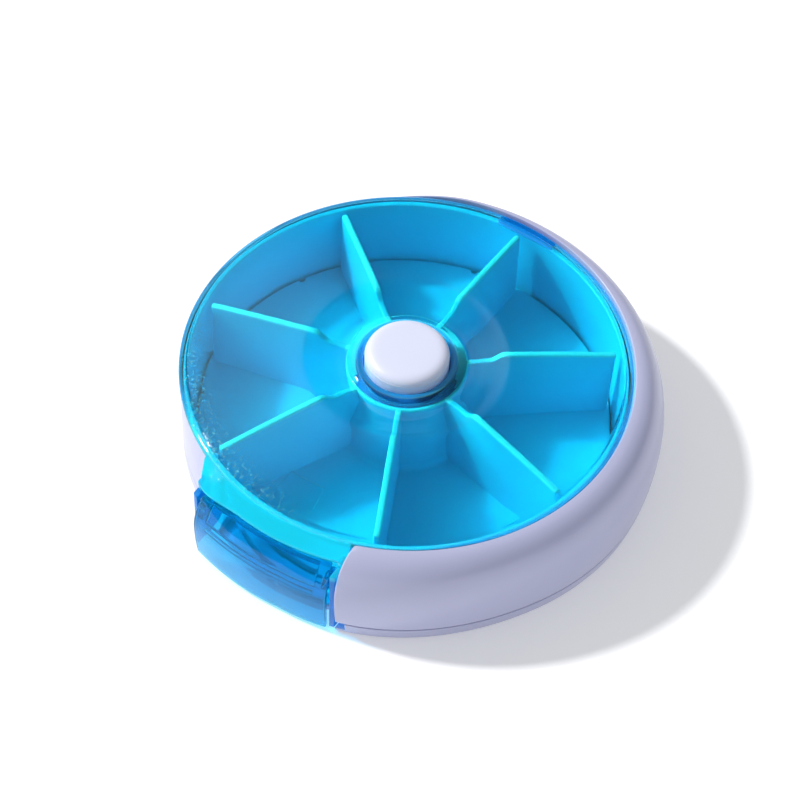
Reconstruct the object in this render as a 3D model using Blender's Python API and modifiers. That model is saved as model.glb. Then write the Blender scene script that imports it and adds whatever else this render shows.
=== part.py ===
"""Round push-button pill dispenser: seven turning compartments under a clear cover, emptied through a flap.

The origin is the tray's turning axis at the resting plane, +Z is up, and the outlet faces -Y. The white shell
is widest towards +X. Lengths are in metres, and MM turns a size in millimetres into metres.
"""

import math

import bmesh
import bpy
from mathutils import Matrix, Vector

MM = 0.001
GAP = 0.3 * MM

# Driving dimensions: the drum and its cover.
RIM_R = 45.0 * MM
RIM_Z = 22.0 * MM
COVER_SKIN = 1.5 * MM
DOME_RISE = 2.6 * MM
DOME_FLAT_R = 43.0 * MM
DRUM_R = 43.9 * MM
DRUM_SKIN = 0.9 * MM
DRUM_TOP = 19.9 * MM

# The base, the parting line and the shell.
BASE_TOP = 1.4 * MM
BASE_RIM_TOP = 3.6 * MM
SHELL_BOTTOM = BASE_RIM_TOP + GAP
SHELL_BORE_R = 44.2 * MM
SHELL_SKIN = 1.6 * MM
LIP_R = RIM_R + GAP
LIP_Z = 21.9 * MM
WIDEST_Z = 10.5 * MM
SLIM_R = 44.9 * MM
CRESCENT_R = 48.6 * MM
CRESCENT_SHIFT = 3.7 * MM
CRESCENT_HEADING = 5.0
NOSE_REACH = 3.0 * MM
NOSE_LEAN = 0.08 * MM
TUCK = 1.2 * MM

# The outlet, in degrees round the drum and in X.
OUTLET_START = 251.0
OUTLET_END = 290.6
OUTLET_X = (-12.9 * MM, 14.6 * MM)
FLOOR_EDGE_R = 46.6 * MM
ROOF_R = 47.9 * MM
ROOF_LEAN = 1.2 * MM
ROOF_Z = 19.0 * MM

# The tray.
COMPARTMENTS = 7
STEP_ANGLE = 360.0 / COMPARTMENTS
TRAY_R = 42.4 * MM
TRAY_UNDER = 2.3 * MM
TRAY_FLOOR = 3.5 * MM
VANE_R = 41.8 * MM
VANE_THICK = 1.4 * MM
HUB_TOP = 20.45 * MM
HUB_BORE_R = 10.0 * MM

# The button, its plunger and the driver ring that the plunger turns.
BUTTON_R = 8.4 * MM
BUTTON_TOP = 25.8 * MM
STROKE = 3.0 * MM
HELIX_LEAD = STROKE * COMPARTMENTS
PLUNGER_R = 3.9 * MM
RIB_R = 5.0 * MM
DRIVER_BORE_R = 5.3 * MM
DRIVER_R = 6.7 * MM
SLEEVE_R = 7.0 * MM
THREADS = 3
SPRING_R = 6.05 * MM
SPRING_WIRE = 0.35 * MM
SPRING_TURNS = 5.5
SPRING_Z = (12.45 * MM, 22.95 * MM)

# The flap's pivot, and the screws' places as radius and heading.
PIVOT_Y = -45.8 * MM
PIVOT_Z = 14.0 * MM
PIN_R = 0.6 * MM
CASE_SCREW_R = 46.8 * MM
CASE_SCREW_HEADINGS = (308.0, 342.0, 20.0, 55.0)
DETENT_SCREW = (47.1 * MM, 6.6 * MM)


def clear_scene():
    """Remove every object of the open scene."""
    for obj in list(bpy.data.objects):
        bpy.data.objects.remove(obj, do_unlink=True)


def collection(name, hidden=False):
    """A new collection in the scene."""
    made = bpy.data.collections.new(name)
    made.hide_render = hidden
    bpy.context.scene.collection.children.link(made)
    return made


def plastic(name, color, roughness=0.3, metallic=0.0, alpha=1.0):
    """A Principled material of one colour."""
    made = bpy.data.materials.new(name)
    made.use_nodes = True
    shader = made.node_tree.nodes["Principled BSDF"]
    shader.inputs["Base Color"].default_value = (*color, 1.0)
    shader.inputs["Roughness"].default_value = roughness
    shader.inputs["Metallic"].default_value = metallic
    shader.inputs["Alpha"].default_value = alpha
    return made


clear_scene()
PARTS = collection("pill_dispenser")
CUTTERS = collection("cutters", hidden=True)

WHITE = plastic("white_plastic", (0.76, 0.77, 0.84), 0.28)
CYAN = plastic("cyan_plastic", (0.03, 0.50, 0.80), 0.35)
CLEAR_BLUE = plastic("clear_blue_plastic", (0.02, 0.42, 0.85), 0.08, alpha=0.45)
GREY = plastic("grey_acetal", (0.62, 0.64, 0.66), 0.4)
STEEL = plastic("steel", (0.60, 0.60, 0.62), 0.25, 1.0)


# Shapes

def place(obj, material=None):
    """Link a part with its material, or a cutter when it has none."""
    if material is None:
        CUTTERS.objects.link(obj)
        obj.hide_render = True
        obj.display_type = "WIRE"
    else:
        PARTS.objects.link(obj)
        obj.data.materials.append(material)
        obj.data.shade_smooth()
        obj.data.set_sharp_from_angle(angle=math.radians(35))
    return obj


def mesh_object(name, shape, material=None):
    """An object made from a bmesh, which is freed."""
    data = bpy.data.meshes.new(name)
    shape.to_mesh(data)
    shape.free()
    return place(bpy.data.objects.new(name, data), material)


def cylinder(name, radius, bottom, top, at=(0.0, 0.0), sides=16, material=None):
    """An upright cylinder, or a prism with few sides."""
    shape = bmesh.new()
    bmesh.ops.create_cone(
        shape, cap_ends=True, segments=sides, radius1=radius, radius2=radius, depth=top - bottom,
        matrix=Matrix.Translation((at[0], at[1], (top + bottom) / 2)),
    )
    return mesh_object(name, shape, material)


def rod_along_x(name, radius, x_range, y, z, material=None):
    """A round rod whose origin is on its own axis, parallel to X."""
    shape = bmesh.new()
    bmesh.ops.create_cone(
        shape, cap_ends=True, segments=16, radius1=radius, radius2=radius, depth=x_range[1] - x_range[0],
        matrix=Matrix.Rotation(math.radians(90), 4, "Y"),
    )
    rod = mesh_object(name, shape, material)
    rod.location = (sum(x_range) / 2, y, z)
    return rod


def box(name, low, high):
    """A box cutter between two corners."""
    low, high = Vector(low), Vector(high)
    shape = bmesh.new()
    bmesh.ops.create_cube(
        shape, size=1.0, matrix=Matrix.Translation((low + high) / 2) @ Matrix.Diagonal((*(high - low), 1.0))
    )
    return mesh_object(name, shape)


def turned(name, profile, steps=48, material=None):
    """A profile of (radius, height) points turned about Z. A profile that starts on the axis is left open there."""
    area = sum(a[0] * b[1] - b[0] * a[1] for a, b in zip(profile, profile[1:] + profile[:1]))
    if area > 0:
        profile = profile[::-1]
    shape = bmesh.new()
    ring = [shape.verts.new((radius, 0.0, height)) for radius, height in profile]
    on_axis = profile[0][0] == 0.0
    pairs = zip(ring, ring[1:]) if on_axis else zip(ring, ring[1:] + ring[:1])
    for first, second in pairs:
        shape.edges.new((first, second))
    obj = mesh_object(name, shape, material)
    screw = obj.modifiers.new("turn", "SCREW")
    screw.steps = steps
    screw.render_steps = steps
    screw.use_merge_vertices = True
    screw.merge_threshold = 0.00001
    return obj


def loft(name, sections, material=None):
    """Join equal rings of points into one solid, capped at both ends."""
    shape = bmesh.new()
    rings = [[shape.verts.new(point) for point in section] for section in sections]
    for first, second in zip(rings, rings[1:]):
        for i, corner in enumerate(first):
            shape.faces.new((corner, first[i - 1], second[i - 1], second[i]))
    shape.faces.new(rings[0])
    shape.faces.new(rings[-1])
    bmesh.ops.recalc_face_normals(shape, faces=shape.faces)
    return mesh_object(name, shape, material)


def slab(name, outlines, bottom, top, at=(0.0, 0.0), turn=0.0, upright=False, material=None):
    """A flat outline with any holes, extruded between two heights, or along Y when it stands upright."""
    curve = bpy.data.curves.new(name + "_outline", "CURVE")
    curve.dimensions = "2D"
    curve.fill_mode = "BOTH"
    curve.extrude = (top - bottom) / 2
    for outline in outlines:
        spline = curve.splines.new("POLY")
        spline.points.add(len(outline) - 1)
        spline.use_cyclic_u = True
        for point, (x, y) in zip(spline.points, outline):
            point.co = (x, y, 0.0, 1.0)
    guide = bpy.data.objects.new(name + "_guide", curve)
    CUTTERS.objects.link(guide)
    guide.location = (at[0], at[1], 0.0 if upright else (top + bottom) / 2)
    guide.rotation_euler = (math.radians(90) if upright else 0.0, 0.0, math.radians(turn))
    bpy.context.view_layer.update()
    graph = bpy.context.evaluated_depsgraph_get()
    data = bpy.data.meshes.new_from_object(guide.evaluated_get(graph))
    data.name = name
    data.materials.clear()
    shape = bmesh.new()
    shape.from_mesh(data)
    bmesh.ops.remove_doubles(shape, verts=shape.verts, dist=0.000001)
    shape.to_mesh(data)
    shape.free()
    solid = bpy.data.objects.new(name, data)
    solid.matrix_world = guide.matrix_world
    bpy.data.objects.remove(guide)
    return place(solid, material)


def combine(obj, operation, *others):
    """Add one Boolean for each other mesh, in order."""
    for other in others:
        boolean = obj.modifiers.new(other.name, "BOOLEAN")
        boolean.operation = operation
        boolean.object = other
        boolean.solver = "EXACT"
    return obj


def polar(radius, heading, height):
    """The point at a radius and a heading in degrees."""
    return Vector((radius * math.cos(math.radians(heading)), radius * math.sin(math.radians(heading)), height))


def spaced(start, end, count):
    """Evenly spaced values with both ends."""
    return [start + (end - start) * i / (count - 1) for i in range(count)]


def arc(radius, start, end, count):
    """Plan points along an arc."""
    return [tuple(polar(radius, heading, 0.0)[:2]) for heading in spaced(start, end, count)]


def sector(name, radii, start, end, bottom, top, count=9):
    """A cutter or a block between two radii and two headings."""
    outline = arc(radii[0], start, end, count) + arc(radii[1], end, start, count)
    return slab(name, [outline], bottom, top)


def ring_lofts(name, section_at, headings, material=None):
    """Loft the (radius, height) section that a function gives at each heading."""
    sections = [[polar(r, heading, z) for r, z in section_at(heading)] for heading in headings]
    return loft(name, sections, material)


def ease(share):
    """A smooth step from 0 to 1."""
    share = min(max(share, 0.0), 1.0)
    return share * share * (3 - 2 * share)


# The outline in plan: a slim drum, an off-centre circle for the crescent and a nose at the outlet.

def crescent_radius(heading):
    """The radius of the off-centre circle."""
    swing = math.radians(heading - CRESCENT_HEADING)
    across = CRESCENT_SHIFT * math.sin(swing)
    return CRESCENT_SHIFT * math.cos(swing) + math.sqrt(CRESCENT_R**2 - across**2)


def nose(heading):
    """What the nose adds round the outlet, dying away into the crescent."""
    if 240.0 <= heading <= 275.0:
        return NOSE_REACH + NOSE_LEAN * (275.0 - heading)
    if 275.0 < heading < 335.0:
        return NOSE_REACH * math.cos(math.radians(90 * (heading - 275.0) / 60.0)) ** 2
    return 0.0


def outline_radius(heading):
    """The widest radius of the whole object at a heading."""
    heading %= 360.0
    full = crescent_radius(heading) + nose(heading)
    if 140.0 < heading <= 200.0:
        return full + (SLIM_R - full) * ease((heading - 140.0) / 50.0)
    if 200.0 < heading < 251.0:
        return SLIM_R + (full - SLIM_R) * ease((heading - 241.0) / 10.0)
    return full


def case_radius(heading):
    """The widest radius of the white shells, which stay slim up to the outlet."""
    return SLIM_R if 200.0 < heading % 360 <= OUTLET_START else outline_radius(heading)


def side_radius(heading, height):
    """The outer radius below the widest height, where the side tucks in."""
    widest = case_radius(heading)
    drop = max(0.0, (WIDEST_Z - height) / WIDEST_Z)
    return widest - TUCK * ease((widest - RIM_R) / (4 * MM)) * drop**2


def dome_height(radius):
    """The top of the cover outside its well."""
    return RIM_Z + DOME_RISE * (1 - (radius / DOME_FLAT_R) ** 2)


# Casing

def make_base():
    """The lower shell: a dish with the plunger's guide post, the tray's bearing sleeve and screw bosses."""
    headings = spaced(0.0, 360.0, 61)[:-1]

    def outline(height, inset):
        return [polar(side_radius(heading, height) - inset, heading, height) for heading in headings]

    edge = 0.5 * MM
    outside = [outline(0.0, edge), outline(edge, 0.0), outline(2 * MM, 0.0), outline(BASE_RIM_TOP, 0.0)]
    base = loft("base_shell", outside, material=WHITE)

    def dish_radius(heading):
        if OUTLET_START < heading < OUTLET_END:
            return 60 * MM
        return max(side_radius(heading, BASE_TOP) - SHELL_SKIN, SHELL_BORE_R)

    inside = [[polar(dish_radius(heading), heading, z) for heading in headings] for z in (BASE_TOP, 5 * MM)]
    nose_cut = sector("base_nose_cut", (FLOOR_EDGE_R, 60 * MM), 249.5, 290.3, -1 * MM, 5 * MM, 12)
    combine(base, "DIFFERENCE", loft("base_dish", inside), nose_cut)
    rail = turned("base_rail", [(29 * MM, 1.2 * MM), (29 * MM, 2 * MM), (30.5 * MM, 2 * MM), (30.5 * MM, 1.2 * MM)])
    sleeve = turned("base_sleeve", [
        (SLEEVE_R, 1.2 * MM), (SLEEVE_R, 7 * MM), (SLEEVE_R + 1 * MM, 7 * MM), (SLEEVE_R + 1 * MM, 1.2 * MM)], 32)
    post = cylinder("base_post", 2.2 * MM, 1.2 * MM, 13 * MM, sides=6)
    combine(base, "UNION", rail, sleeve, post)
    for index, heading in enumerate(CASE_SCREW_HEADINGS, 1):
        at = polar(CASE_SCREW_R, heading, 0.0)[:2]
        boss = cylinder(f"base_boss_{index}", 2.7 * MM, 0.7 * MM, 3.3 * MM, at)
        combine(base, "UNION", boss)
    for index, heading in enumerate(CASE_SCREW_HEADINGS, 1):
        at = polar(CASE_SCREW_R, heading, 0.0)[:2]
        recess = cylinder(f"base_recess_{index}", 1.9 * MM, -1 * MM, 1.6 * MM, at)
        hole = cylinder(f"base_hole_{index}", 1.1 * MM, 1.0 * MM, 5 * MM, at, 12)
        combine(base, "DIFFERENCE", recess, hole)
    detent_hole = cylinder("base_detent_hole", 1.1 * MM, 0.4 * MM, 5 * MM, DETENT_SCREW, 12)
    return combine(base, "DIFFERENCE", detent_hole)


def shell_section(heading):
    """The shell's solid section: the drum's outer wall, the lip round the cover and the crescent's side."""
    widest = case_radius(heading)
    lip_r = min(LIP_R, widest - 0.3 * MM)
    lip_z = DRUM_TOP + 0.1 * MM + (LIP_Z - DRUM_TOP - 0.1 * MM) * ease((widest - 45.9 * MM) / (1.8 * MM))
    section = [(SHELL_BORE_R, SHELL_BOTTOM), (SHELL_BORE_R, DRUM_TOP), (lip_r, DRUM_TOP), (lip_r, lip_z)]
    for turn in (14, 34, 54, 72, 90):
        reach, rise = math.sin(math.radians(turn)), math.cos(math.radians(turn))
        section.append((
            lip_r + (widest - lip_r) * reach**0.87, WIDEST_Z + (lip_z - WIDEST_Z) * max(rise, 0.0) ** 0.87))
    for height in (7 * MM, SHELL_BOTTOM):
        section.append((side_radius(heading, height), height))
    return section


def hollow_section(heading):
    """The space inside the crescent."""
    inner_r = SHELL_BORE_R + 1.5 * MM
    widest = outline_radius(heading) - SHELL_SKIN
    top = LIP_Z - SHELL_SKIN
    section = [(inner_r, SHELL_BOTTOM - 1 * MM)]
    for turn in (0, 25, 50, 70, 90):
        reach, rise = math.sin(math.radians(turn)), math.cos(math.radians(turn))
        section.append((
            inner_r + (widest - inner_r) * reach**0.87, WIDEST_Z + (top - WIDEST_Z) * max(rise, 0.0) ** 0.87))
    section.append((side_radius(heading, SHELL_BOTTOM) - SHELL_SKIN, SHELL_BOTTOM - 1 * MM))
    return section


def make_shell():
    """The upper shell: a crescent round the drum, open below and broken at the outlet."""
    shell = ring_lofts("body_shell", shell_section, spaced(OUTLET_END, 360 + OUTLET_START, 55), material=WHITE)
    hollow = ring_lofts("shell_hollow", hollow_section, spaced(293.5, 360 + 100, 29))
    combine(shell, "DIFFERENCE", hollow)
    for index, heading in enumerate(CASE_SCREW_HEADINGS, 1):
        at = polar(CASE_SCREW_R, heading, 0.0)[:2]
        combine(shell, "UNION", cylinder(f"shell_boss_{index}", 1.9 * MM, SHELL_BOTTOM, 17.3 * MM, at))
    for index, heading in enumerate(CASE_SCREW_HEADINGS, 1):
        at = polar(CASE_SCREW_R, heading, 0.0)[:2]
        combine(shell, "DIFFERENCE", cylinder(f"shell_hole_{index}", 1.1 * MM, 1 * MM, 12 * MM, at, 12))
    return shell


def make_drum():
    """The fixed wall round the tray, with the outlet's window and the detent's slot."""
    inner = DRUM_R - DRUM_SKIN
    low = BASE_TOP + GAP
    drum = turned("drum_ring", [(inner, low), (inner, DRUM_TOP), (DRUM_R, DRUM_TOP), (DRUM_R, low)], 60, CYAN)
    window = box("drum_window", (OUTLET_X[0], -60 * MM, 3.3 * MM), (OUTLET_X[1], -35 * MM, 18.8 * MM))
    slot = box("drum_slot", (40 * MM, -2.2 * MM, 0.0), (50 * MM, 2.2 * MM, SHELL_BOTTOM))
    return combine(drum, "DIFFERENCE", window, slot)


def make_sill():
    """The stepped sill between the drum and the flap."""
    low = BASE_TOP + GAP
    section = [
        (SHELL_BORE_R, low), (SHELL_BORE_R, 3.3 * MM), (45.2 * MM, 3.3 * MM), (45.4 * MM, 2.7 * MM),
        (FLOOR_EDGE_R, 2.4 * MM), (FLOOR_EDGE_R, low)]
    return ring_lofts("outlet_sill", lambda heading: section, spaced(254.6, 287.6, 12), material=CYAN)


def roof_section(heading):
    """The cover's sloping roof over the outlet, which flares out of the rim."""
    full = ROOF_R + ROOF_LEAN * ease((262.0 - heading) / 12.0)
    reach = SLIM_R + (full - SLIM_R) * ease((heading - 243.0) / 8.0)
    edge_z = ROOF_Z + (ROOF_R - reach) * (0.83 if reach < ROOF_R else 0.33)
    return [
        (43.6 * MM, 20.35 * MM), (45.1 * MM, 20.25 * MM), (reach - 0.2 * MM, edge_z - 1.0 * MM),
        (reach, edge_z), (44.6 * MM, 21.6 * MM), (43.6 * MM, 21.85 * MM)]


def make_cover():
    """The clear cover: a shallow dome, a well and collar round the button, and the hood over the outlet."""
    top = [(r * MM, dome_height(r * MM)) for r in (16, 25, 34, 42)]
    under = [(r * MM, dome_height(r * MM) - COVER_SKIN) for r in (42, 34, 25, 16.6)]
    button_bore = BUTTON_R + GAP
    profile = [
        (button_bore, 22.5 * MM), (9.3 * MM, 22.9 * MM), (10.9 * MM, 22.9 * MM), (11.6 * MM, 22.4 * MM),
        (11.9 * MM, RIM_Z), (14.7 * MM, RIM_Z), (15.4 * MM, 22.5 * MM), *top,
        (43.6 * MM, 21.85 * MM), (44.5 * MM, 21.5 * MM), (RIM_R, 20.9 * MM), (RIM_R, DRUM_TOP + 0.4 * MM),
        (42.9 * MM, DRUM_TOP + 0.4 * MM), *under, (15.9 * MM, 22.2 * MM), (15.3 * MM, 20.8 * MM),
        (9.7 * MM, 20.8 * MM), (9.6 * MM, 17.3 * MM), (button_bore, 17.3 * MM)]
    cover = turned("cover", profile, 48, CLEAR_BLUE)
    roof = ring_lofts("cover_roof", roof_section, spaced(245.5, 290.0, 18))
    left = slab("cover_left_cheek", [[
        (-18.0 * MM, -42.3 * MM), (-16.75 * MM, -42.3 * MM), (-16.75 * MM, -47.3 * MM), (-18.0 * MM, -46.8 * MM)]],
        1.7 * MM, 16.6 * MM)
    left_stem = slab("cover_left_stem", [[
        (-18.0 * MM, -43.0 * MM), (-16.75 * MM, -43.0 * MM), (-16.75 * MM, -45.8 * MM), (-18.0 * MM, -45.3 * MM)]],
        16 * MM, 18.6 * MM)
    right = slab("cover_right_cheek", [[
        (15.1 * MM, -44.0 * MM), (16.1 * MM, -44.0 * MM), (16.1 * MM, -48.6 * MM), (15.1 * MM, -48.9 * MM)]],
        1.7 * MM, 18.2 * MM)
    bridge = box("cover_right_bridge", (15.1 * MM, -46.2 * MM, 17 * MM), (16.1 * MM, -44.0 * MM, 19.8 * MM))
    combine(cover, "UNION", roof, left, left_stem, right, bridge)
    pin_holes = rod_along_x("cover_pin_holes", PIN_R + GAP, (-20 * MM, 20 * MM), PIVOT_Y, PIVOT_Z)
    snap_window = sector("cover_snap_window", (43.1 * MM, 44.4 * MM), 79.5, 97.0, 19 * MM, 23 * MM)
    return combine(cover, "DIFFERENCE", pin_holes, snap_window)


# Tray

def vane_outline():
    """A vane's outline seen from the side: it follows the dome and dips under the well."""
    clear = COVER_SKIN + 0.35 * MM
    top = [(r * MM, dome_height(r * MM) - clear) for r in (16.7, 25, 34, 41.2)]
    return [(11 * MM, 3 * MM), (VANE_R, 3 * MM), (VANE_R, 20 * MM), *top[::-1],
            (16.6 * MM, 20.4 * MM), (11 * MM, 20.4 * MM)]


def ratchet_outline(root, tip):
    """A saw-toothed bore, one tooth for each compartment."""
    points = []
    for tooth in range(COMPARTMENTS):
        start = tooth * STEP_ANGLE
        points.append(tuple(polar(tip, start, 0.0)[:2]))
        for heading, radius in ((0.5, root), (8.0, root), (20.0, root), (32.0, (root + tip) / 2), (46.0, tip)):
            points.append(tuple(polar(radius, start + heading, 0.0)[:2]))
    return points


def make_tray():
    """The turning tray: floor, hollow hub and one vane between neighbouring compartments."""
    bearing_r = SLEEVE_R + 1.3 * MM
    profile = [
        (HUB_BORE_R, HUB_TOP), (11.4 * MM, HUB_TOP), (11.7 * MM, HUB_TOP - 0.3 * MM), (12.9 * MM, 4 * MM),
        (13.4 * MM, TRAY_FLOOR), (TRAY_R, TRAY_FLOOR), (TRAY_R, TRAY_UNDER), (bearing_r, TRAY_UNDER),
        (bearing_r, TRAY_FLOOR), (HUB_BORE_R, TRAY_FLOOR)]
    tray = turned("pill_tray", profile, 48, CYAN)
    for index in range(COMPARTMENTS):
        vane = slab(
            f"tray_vane_{index}", [vane_outline()], 0.0, VANE_THICK, turn=90 + index * STEP_ANGLE, upright=True)
        combine(tray, "UNION", vane)
    ratchet = slab(
        "tray_ratchet", [arc(10.5 * MM, 0, 360 - 360 / 42, 42), ratchet_outline(9.85 * MM, 9.2 * MM)],
        7 * MM, 10.2 * MM)
    combine(tray, "UNION", ratchet)
    for index in range(COMPARTMENTS):
        at = polar(42.75 * MM, index * STEP_ANGLE, 0.0)[:2]
        combine(tray, "DIFFERENCE", cylinder(f"tray_notch_{index}", 0.8 * MM, 1 * MM, 5 * MM, at, 12))
    return tray


# Flap

def flap_section(heading):
    """The flap's section: its top edge under the roof, a bulging face and a tucked lower edge."""
    widest = outline_radius(heading)
    top_z, low_z, skin = 17.4 * MM, 0.9 * MM, 1.3 * MM
    top_r = min(48.3 * MM + ROOF_LEAN * ease((262.0 - heading) / 11.0), widest - 0.8 * MM)
    face = []
    for height in (top_z, 15.8 * MM, 13.4 * MM, 10 * MM, 5.5 * MM, low_z):
        if height > 10 * MM:
            radius = widest - (widest - top_r) * ((height - 10 * MM) / (top_z - 10 * MM)) ** 2
        else:
            radius = widest - 0.6 * MM * ((10 * MM - height) / (10 * MM - low_z)) ** 2
        face.append((radius, height))
    return face + [(radius - skin, height) for radius, height in face[::-1]]


def make_flap():
    """The clear flap that closes the outlet, turning on two pins."""
    flap = ring_lofts("outlet_door", flap_section, spaced(251.4, 286.5, 14), material=CLEAR_BLUE)
    for side, x_range, reach in (("left", (-15.7, -14.4), -47.8), ("right", (13.0, 14.3), -48.2)):
        low, high = (x * MM for x in x_range)
        eye = [(PIVOT_Y + y, PIVOT_Z + z) for y, z in arc(1.6 * MM, -90, 90, 9)]
        web = [(reach * MM, PIVOT_Z + 1.6 * MM), ((reach - 0.6) * MM, PIVOT_Z - 1.6 * MM)]
        lug = slab(f"door_{side}_lug", [eye + web], low, high, ((low + high) / 2, 0.0), 90, True)
        combine(flap, "UNION", lug)
    bore = rod_along_x("door_bore", PIN_R + GAP, (-16.0 * MM, 14.6 * MM), PIVOT_Y, PIVOT_Z)
    combine(flap, "DIFFERENCE", bore)
    flap.data.transform(Matrix.Translation((0.0, -PIVOT_Y, -PIVOT_Z)))
    flap.location = (0.0, PIVOT_Y, PIVOT_Z)
    rod_along_x("door_pin_left", PIN_R, (-17.9 * MM, -14.5 * MM), PIVOT_Y, PIVOT_Z, material=STEEL)
    rod_along_x("door_pin_right", PIN_R, (13.1 * MM, 16.1 * MM), PIVOT_Y, PIVOT_Z, material=STEEL)
    return flap


# Button and drive

def make_button():
    """The button cap: a cup with a foot flange that stops under the cover's collar."""
    inner = BUTTON_R - 1.2 * MM
    roof = BUTTON_TOP - 2.2 * MM
    profile = [
        (0.0, BUTTON_TOP), (6.6 * MM, BUTTON_TOP), (7.7 * MM, 25.6 * MM), (8.2 * MM, 25.1 * MM),
        (BUTTON_R, 24.4 * MM), (BUTTON_R, 17 * MM), (9.3 * MM, 17 * MM), (9.3 * MM, 16 * MM), (inner, 16 * MM),
        (inner, roof), (5.3 * MM, roof), (5.3 * MM, 21.4 * MM), (4.3 * MM, 21.4 * MM), (4.3 * MM, roof), (0.0, roof)]
    return turned("button_cap", profile, 32, WHITE)


def twisted_bar(name, inner_r, outer_r, width, bottom, top, start):
    """A bar on a steep right-hand helix, as wide as some degrees."""
    sections = []
    for height in spaced(bottom, top, 8):
        turn = start + 360 * height / HELIX_LEAD
        outer = [polar(outer_r, turn + side * width, height) for side in (-0.5, -0.17, 0.17, 0.5)]
        inner = [polar(inner_r, turn + side * width, height) for side in (0.5, 0.17, -0.17, -0.5)]
        sections.append(outer + inner)
    return loft(name, sections)


def make_plunger():
    """The plunger: a stem with steep threads, and a six-sided bore that slides on the base's post."""
    plunger = cylinder("plunger", PLUNGER_R, 5 * MM, BUTTON_TOP - 2.5 * MM, sides=24, material=GREY)
    for index in range(THREADS):
        rib = twisted_bar(
            f"plunger_thread_{index}", 3.4 * MM, RIB_R, 40, 5.2 * MM, 11 * MM, index * 360 / THREADS)
        combine(plunger, "UNION", rib)
    return combine(plunger, "DIFFERENCE", cylinder("plunger_bore", 2.6 * MM, 4 * MM, 16.5 * MM, sides=6))


def pawl_outline(tip):
    """One ratchet pawl: a sloping back and a steep working face."""
    return [
        tuple(polar(radius, heading, 0.0)[:2])
        for radius, heading in ((7.2 * MM, -26), (7.9 * MM, -20), (tip, -3.5), (tip, 0), (7.2 * MM, 2))]


def make_driver():
    """The driver ring: threads inside that the plunger turns, pawls outside that push the tray."""
    profile = [
        (DRIVER_BORE_R, 3 * MM), (DRIVER_BORE_R, 11 * MM), (DRIVER_R, 11 * MM), (DRIVER_R, 9.8 * MM),
        (7.6 * MM, 9.8 * MM), (7.6 * MM, 7.3 * MM), (DRIVER_R, 7.3 * MM), (DRIVER_R, 3 * MM)]
    driver = turned("driver_ring", profile, 28, GREY)
    for index in range(THREADS):
        lug = twisted_bar(
            f"driver_thread_{index}", 4.2 * MM, 5.7 * MM, 60, 4 * MM, 9 * MM, 60 + index * 360 / THREADS)
        combine(driver, "UNION", lug)
    for tooth in (0, 2, 5):
        pawl = slab(f"driver_pawl_{tooth}", [pawl_outline(8.85 * MM)], 7.6 * MM, 9.5 * MM, turn=tooth * STEP_ANGLE)
        combine(driver, "UNION", pawl)
    return driver


def make_spring():
    """The return spring between the driver's washer and the cap."""
    turned("spring_washer", [
        (5.4 * MM, 11.3 * MM), (5.4 * MM, 11.8 * MM), (6.8 * MM, 11.8 * MM), (6.8 * MM, 11.3 * MM)], 24, STEEL)
    curve = bpy.data.curves.new("return_spring", "CURVE")
    curve.dimensions = "3D"
    curve.bevel_depth = SPRING_WIRE
    curve.bevel_resolution = 2
    curve.use_fill_caps = True
    count = int(SPRING_TURNS * 10) + 1
    spline = curve.splines.new("POLY")
    spline.points.add(count - 1)
    for index, point in enumerate(spline.points):
        share = index / (count - 1)
        height = SPRING_Z[0] + (SPRING_Z[1] - SPRING_Z[0]) * share
        point.co = (*polar(SPRING_R, 360 * SPRING_TURNS * share, height), 1.0)
    spring = bpy.data.objects.new("return_spring", curve)
    PARTS.objects.link(spring)
    curve.materials.append(STEEL)
    return spring


def make_detent():
    """The detent: a leaf on a screw whose nose rests just clear of the tray's notched edge."""
    thick = 0.5 * MM
    nose_x = 43.1 * MM
    arm = [
        (46.5 * MM, 5.6 * MM), (45.2 * MM, 2.6 * MM), (44.9 * MM, 1.3 * MM), (nose_x, 0.0), (44.9 * MM, -1.3 * MM),
        (45.3 * MM, -3.2 * MM), (45.3 * MM + thick, -3.2 * MM), (45.3 * MM + thick, -1.2 * MM),
        (nose_x + 2 * thick, 0.0), (45.3 * MM + thick, 1.2 * MM), (45.9 * MM + thick, 3.2 * MM),
        (47.4 * MM, 5.2 * MM)]
    leaf = slab("detent_spring", [arm], 1.8 * MM, 3.4 * MM, material=GREY)
    eye = cylinder("detent_eye", 1.9 * MM, 1.8 * MM, 3.4 * MM, DETENT_SCREW)
    combine(leaf, "UNION", eye)
    return combine(leaf, "DIFFERENCE", cylinder("detent_eye_hole", 1.1 * MM, 1 * MM, 5 * MM, DETENT_SCREW, 12))


# Screws

def make_screw(name, at, head_z, point_z, head_r, shaft_r):
    """A pan-head screw along Z with a cross recess, its head at head_z and its point at point_z."""
    up = 1 if head_z > point_z else -1
    head_height = 0.9 * MM
    neck = head_z - up * head_height
    profile = [
        (0.0, head_z), (head_r * 0.7, head_z), (head_r, head_z - up * 0.35 * MM), (head_r, neck), (shaft_r, neck),
        (shaft_r, point_z + up * 0.8 * MM), (0.0, point_z)]
    screw = turned(name, profile, 12, STEEL)
    screw.location = (at[0], at[1], 0.0)
    for turn in (0, 90):
        half = Vector((head_r * 0.55, 0.2 * MM, 0.35 * MM))
        middle = Vector((0.0, 0.0, head_z))
        slot = box(f"{name}_slot_{turn}", middle - half, middle + half)
        slot.location = (at[0], at[1], 0.0)
        slot.rotation_euler = (0.0, 0.0, math.radians(turn + 20))
        combine(screw, "DIFFERENCE", slot)
    return screw


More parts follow.
